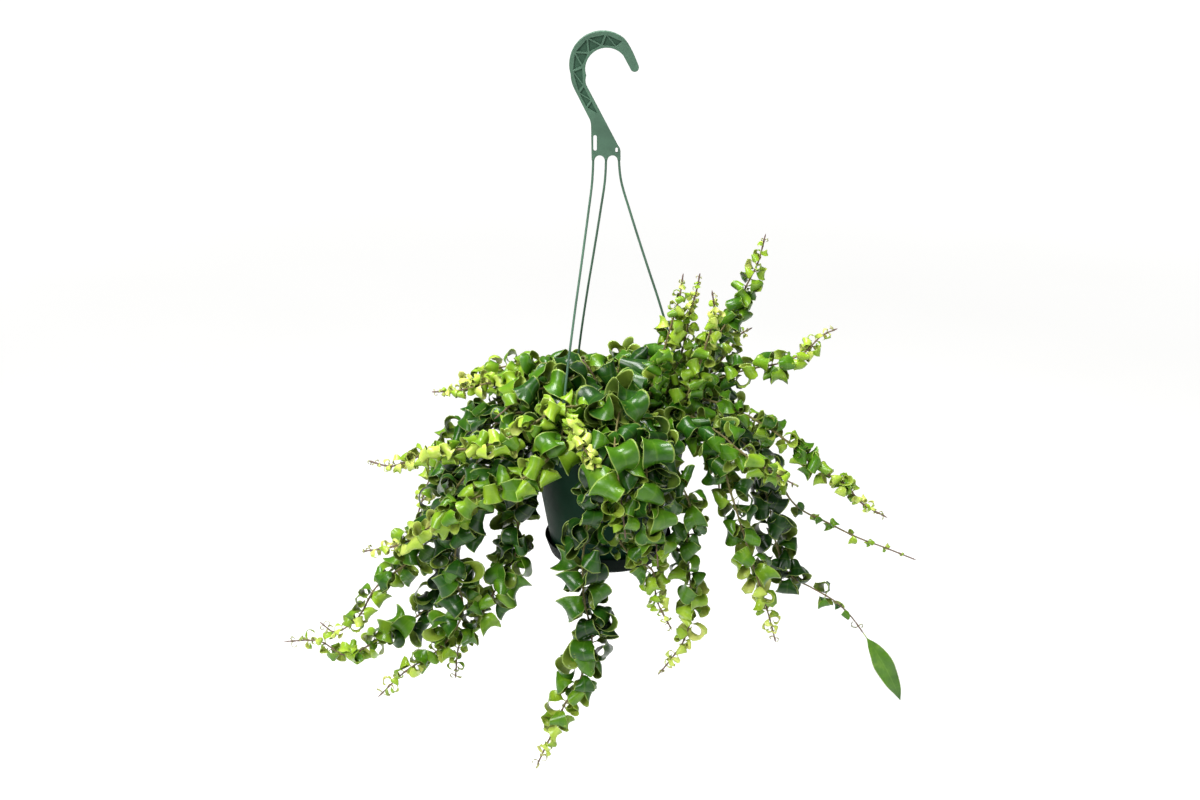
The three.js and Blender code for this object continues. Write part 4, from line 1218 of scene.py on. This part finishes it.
# %% Heap the soil
SOIL_RINGS = 36
SOIL_SPOKES = 96
SOIL_FOOT_RADIUS = 54
SOIL_BELLY_RADIUS = 60
SOIL_BELLY = 8
SOIL_CLEARANCE = 0.7
SOIL_SHOULDER = 2
SOIL_SINK = 0.4
SOIL_SKIN = 1
CLOD_HEIGHT = 1.3
CLOD_RATE = 160
# The fractal's roughness, the step between its octaves, and how many it has
CLOD_FRACTAL = (0.7, 2.2, 4)

peat = Finish("peat", IOR=1.4)
clod = peat.noise(90, 6)
peat.paint(
    Base_Color=peat.ramp(clod, [(0.3, (22, 15, 11)), (0.55, (46, 32, 22)), (0.75, (74, 54, 38))]),
    Roughness=0.9 + clod * 0.1,
    Normal=peat.bump(peat.noise(700, 5), 0.0015),
)
peat.report()

soil_edge = wall_radius(SOIL_TOP) - WALL - SOIL_CLEARANCE
soil_low = POT_FOOT + WALL + GAP
soil_profile = [
    (0, soil_low),
    (SOIL_FOOT_RADIUS, soil_low),
    (SOIL_BELLY_RADIUS, POT_FOOT + SOIL_BELLY),
    (soil_edge, SOIL_TOP - SOIL_SHOULDER),
]
for share in np.linspace(1, 0, SOIL_RINGS):
    crown = SOIL_TOP + SOIL_CROWN * (1 - share ** 2) - SOIL_SINK
    soil_profile.append((soil_edge * share, crown))
soil = turned("soil_fine", np.array(soil_profile), SOIL_SPOKES, peat.material)
for vertex in soil.data.vertices:
    if vertex.co.z > (SOIL_TOP - SOIL_SKIN) * MM:
        vertex.co.z += CLOD_HEIGHT * MM * noise.fractal(vertex.co * CLOD_RATE, *CLOD_FRACTAL)
print("soil:", round(2 * soil_edge), "mm across")

# %% [markdown]
# A crumb is a twenty-sided lump with its corners pushed in and out. All draws come from one seeded
# generator, so that the heap is the same every time.

# %% Strew the crumbs
CRUMBS = 620
CRUMB_EDGE = 3
CRUMB_SINK = 0.1
SMALLEST_CRUMB = 0.7
CRUMB_RANGE = 1.5
DENTS = 0.35
THINNEST = 0.7
STRETCH_RANGE = 0.6

chance = np.random.default_rng(7)
lump = bmesh.new()
bmesh.ops.create_icosphere(lump, subdivisions=1, radius=1)
lump_corners = np.array([vertex.co[:] for vertex in lump.verts])
lump_faces = np.array([[vertex.index for vertex in face.verts] for face in lump.faces])
lump.free()
crumb_points, crumb_faces = [], []
for _ in range(CRUMBS):
    reach = (soil_edge - CRUMB_EDGE) * math.sqrt(chance.random())
    angle = 2 * math.pi * chance.random()
    size = SMALLEST_CRUMB + CRUMB_RANGE * chance.random() ** 2
    dents = 1 + DENTS * (chance.random((len(lump_corners), 1)) - 0.5)
    crumb = lump_corners * dents * size * (THINNEST + STRETCH_RANGE * chance.random(3))
    height = SOIL_TOP + SOIL_CROWN * (1 - (reach / soil_edge) ** 2) - CRUMB_SINK
    crumb_faces.append(lump_faces + len(lump_corners) * len(crumb_points))
    crumb_points.append(crumb + (reach * math.cos(angle), reach * math.sin(angle), height))
crumb_faces = np.vstack(crumb_faces).tolist()
crumbs = mesh_object("crumbs", np.vstack(crumb_points), crumb_faces, [peat.material])
crumbs.data.shade_flat()


def join(main, *others):
    """Adds the meshes of other objects to the main one, and removes those objects."""
    materials = main.data.materials
    whole = bmesh.new()
    for part in (main, *others):
        material = part.data.materials[0]
        if materials.find(material.name) < 0:
            materials.append(material)
        slot = materials.find(material.name)
        first = len(whole.faces)
        whole.from_mesh(part.data)
        whole.faces.ensure_lookup_table()
        for face in whole.faces[first:]:
            face.material_index = slot
    whole.to_mesh(main.data)
    whole.free()
    for part in others:
        bpy.data.objects.remove(part)


join(soil, crumbs)
settle(soil, "soil", crease=60)

# %% [markdown]
# ## The hook plate
#
# The hook plate is a flat moulding: an outline, raised rails along its edges and a zigzag of thin
# ribs between them. Its outline is a few arcs joined by soft bends: round the inside of the hook,
# round its tip, back round the outside, and down the shank to three arched feet.

# %% Draw the outline
PLATE_FOOT = -112
ROOT_XS = (-15.4, -2.6, 10.3)
# Each arc: the x and the z of its centre, and its radius
OUTER_ARC = (-6, -16.5, 32.8)
INNER_ARC = (-2, -21, 21)
TIP_ARC = (25.3, -19.4, 4.2)
ARCH_RADIUS = 5
FOOT_EDGE = 1.6


def arc(centre_x, centre_z, radius, start, end, steps=24):
    """Points on an arc from the start angle to the end angle, both in degrees."""
    angles = np.radians(np.linspace(start, end, steps))
    return np.stack([centre_x + radius * np.cos(angles), centre_z + radius * np.sin(angles)], 1)


left, middle, right = ROOT_XS
inner = arc(*INNER_ARC, 198, 40, 48)
outer = arc(*OUTER_ARC, 50, 196, 56)
tip_end = arc(*TIP_ARC, 387, 387, 1)[0]
arches = [(left + middle) / 2, (middle + right) / 2]
outline = np.vstack([
    [(right + FOOT_EDGE, PLATE_FOOT)],
    bend((right + FOOT_EDGE, -104), (right + 1.4, -100), (9.6, -98)),
    bend((-21.8, -37.5), (-23.6, -33), inner[0]),
    inner,
    arc(*TIP_ARC, 208, 387),
    bend(tip_end, (21.5, 2), outer[0]),
    outer,
    bend(outer[-1], (-37.4, -33.5), (-33.6, -41)),
    bend((-19.6, -69), (-17.6, -72.5), (-17.5, -77)),
    [(left - FOOT_EDGE, PLATE_FOOT)],
    *[arc(centre, PLATE_FOOT, ARCH_RADIUS, 180, 0) for centre in arches],
])
print("hook plate:", [round(x) for x in np.ptp(outline, axis=0)], "mm")

# %% [markdown]
# Between the rails, the ribs leave a row of three-cornered pockets. Their corners lie by turns on
# the inner and the outer rail, first round the hook and then down the shank, so three corners in a
# row always make one pocket. Two small slots go right through the foot of the plate.

# %% Lay out the pockets and slots
RIB_RAIL = 2.6
POCKET_SHARE = 0.8
HOOK_CORNERS = 9
FIRST_CORNER = 48
CORNER_TURN = 18
SHANK_CORNERS = 5
SHANK_OUTER = ((-33.2, -36.5), (-18.2, -66.5))
SHANK_INNER = ((-24.6, -37.2), (-9.6, -66.2))
# Each slot: its lowest and highest x, and its lowest and highest z
WIDE_SLOT = (-15.2, -11.8, -103, -86.5)
SMALL_SLOT = (6.7, 9.1, -104.5, -99)


def slot_outline(x0, x1, z0, z1):
    """A slot with round ends in the box between two widths and two heights."""
    r = (x1 - x0) / 2
    return np.vstack([arc(x0 + r, z1 - r, r, 0, 180, 10), arc(x0 + r, z0 + r, r, 180, 360, 10)])


rail_corners = []
for i in range(HOOK_CORNERS):
    (x, z, radius), inset = ((OUTER_ARC, -RIB_RAIL), (INNER_ARC, RIB_RAIL))[i % 2]
    angle = FIRST_CORNER + CORNER_TURN * i
    rail_corners.append(arc(x, z, radius + inset, angle, angle, 1)[0])
for i in range(SHANK_CORNERS):
    start, end = (SHANK_INNER, SHANK_OUTER)[i % 2]
    rail_corners.append(mix(np.array(start), np.array(end), i / (SHANK_CORNERS - 1)))
cells = [np.array(cell) for cell in zip(rail_corners, rail_corners[1:], rail_corners[2:])]
pockets = [mix(cell.mean(axis=0), cell, POCKET_SHARE) for cell in cells]
slots = [slot_outline(*WIDE_SLOT), slot_outline(*SMALL_SLOT)]
print(len(pockets), "pockets and", len(slots), "slots")

# %% [markdown]
# A 2D curve is the quickest way to such a plate, because Blender fills it, cuts inner outlines out
# as holes, gives it depth and rounds its edges. One full-depth plate has the pockets as holes, and
# a thin web in the middle closes them again half way down.

# %% Make the hook plate
PLATE = 5.0
EDGE = 0.45
WEB = 1.6
WEB_EDGE = 0.1
WEB_SHARE = 1.12
SAME_POINT = 0.01


def plate(name, outlines, depth, edge, material):
    """A flat moulding in the plane of the hook, as deep as given, with rounded edges."""
    curve = bpy.data.curves.new(name, "CURVE")
    curve.dimensions = "2D"
    curve.fill_mode = "BOTH"
    curve.extrude = (depth / 2 - edge) * MM
    curve.bevel_depth = edge * MM
    curve.bevel_resolution = 2
    curve.offset = -edge * MM
    for points in outlines:
        apart = np.linalg.norm(points - np.roll(points, 1, axis=0), axis=1) > SAME_POINT
        points = points[apart] * MM
        spline = curve.splines.new("POLY")
        spline.points.add(len(points) - 1)
        spline.use_cyclic_u = True
        spline.points.foreach_set("co", [c for x, z in points for c in (x, z, 0, 1)])
    drawn = add_object(name, curve)
    graph = bpy.context.evaluated_depsgraph_get()
    mesh = bpy.data.meshes.new_from_object(drawn.evaluated_get(graph))
    bpy.data.objects.remove(drawn)
    mesh.transform(Matrix.Rotation(math.pi / 2, 4, "X"))
    mesh.materials.clear()
    mesh.materials.append(material)
    return add_object(name, mesh)


hanger = plate("hanger_fine", [outline, *slots, *pockets], PLATE, EDGE, hanger_green)
web_cells = [mix(pocket.mean(axis=0), pocket, WEB_SHARE) for pocket in pockets]
# The web takes the darker green of painted shade, for the shaded bottom of the pockets.
web = plate("web", web_cells, WEB, WEB_EDGE, pocket_green)
print("plate and web:", len(hanger.data.polygons), "and", len(web.data.polygons), "faces")

# %% [markdown]
# ## The strands
#
# Three thin strands run from the plate's feet to the rim, and each ends in a small clip. They are
# round rods along a smooth line, so the rings that made the stems serve again. The rods need
# closed ends, and neither swellings nor attributes.

# %% Draw the strands and their clips
STRAND_RADIUS = 1.25
STRAND_SIDES = 12
# Each point of a strand: how far it has come, out to the rim and down to it, as shares
STRAND_BOW = (
    (0, 0), (0.03, 0.07), (0.16, 0.18), (0.38, 0.35), (0.58, 0.5), (0.87, 0.75), (1, 0.94), (1, 1),
)
STRAND_STEPS = 8
STRAND_ROOT = 4
CLIP_HEIGHT = 5
CLIP_RADII = np.array([STRAND_RADIUS, 1.6, 1.8, 2.0, 2.0, 1.7])
# A direction that neither a strand nor a clip ever runs along
ACROSS = (0.3, 1, 0.1)
clip_middle = RIM_TOP - RIM_DROP - GAP - CLIP_HEIGHT / 2


def rod(name, line, radii):
    """A closed round rod of the hanger's plastic, with a radius at each point of its line."""
    ahead = unit(np.gradient(line, axis=0))
    side = unit(np.cross(ahead, ACROSS))
    points = tube_points(line, radii, side, np.cross(ahead, side), STRAND_SIDES)
    faces = ring_quads(len(line), STRAND_SIDES).tolist()
    faces.append(range(STRAND_SIDES)[::-1])
    faces.append(range(len(points) - STRAND_SIDES, len(points)))
    return mesh_object(name, points, faces, [hanger_green])


parts = [web]
for root_x, azimuth in zip(ROOT_XS, STRAND_AZIMUTHS):
    angle = math.radians(azimuth)
    foot = np.array([STRAND_CIRCLE * math.cos(angle), STRAND_CIRCLE * math.sin(angle), clip_middle])
    root = np.array([root_x, 0, PLATE_FOOT])
    way = [root + (0, 0, STRAND_ROOT)]
    for out, down in STRAND_BOW:
        way.append([*mix(root[:2], foot[:2], out), mix(root[2], foot[2], down)])
    line = catmull_rom(way, STRAND_STEPS)
    parts.append(rod("strand", line, np.full(len(line), STRAND_RADIUS)))
    heights = np.linspace(-0.5, 0.5, len(CLIP_RADII)) * CLIP_HEIGHT
    parts.append(rod("clip", np.array([foot + (0, 0, height) for height in heights]), CLIP_RADII))
join(hanger, *parts)
settle(hanger, "hanger")

# %% [markdown]
# ## Sizes
#
# The fine model's box is measured, and how far it grows past the packed model's box is printed.
# The fine model has to stay within the packed model's box.

# %% Print how far the model grows past the packed box
low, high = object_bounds()
past = [round(x / MM, 1) for x in (*(cad_low - low), *(high - cad_high))]
print("grown beyond the packed box, mm:", past)
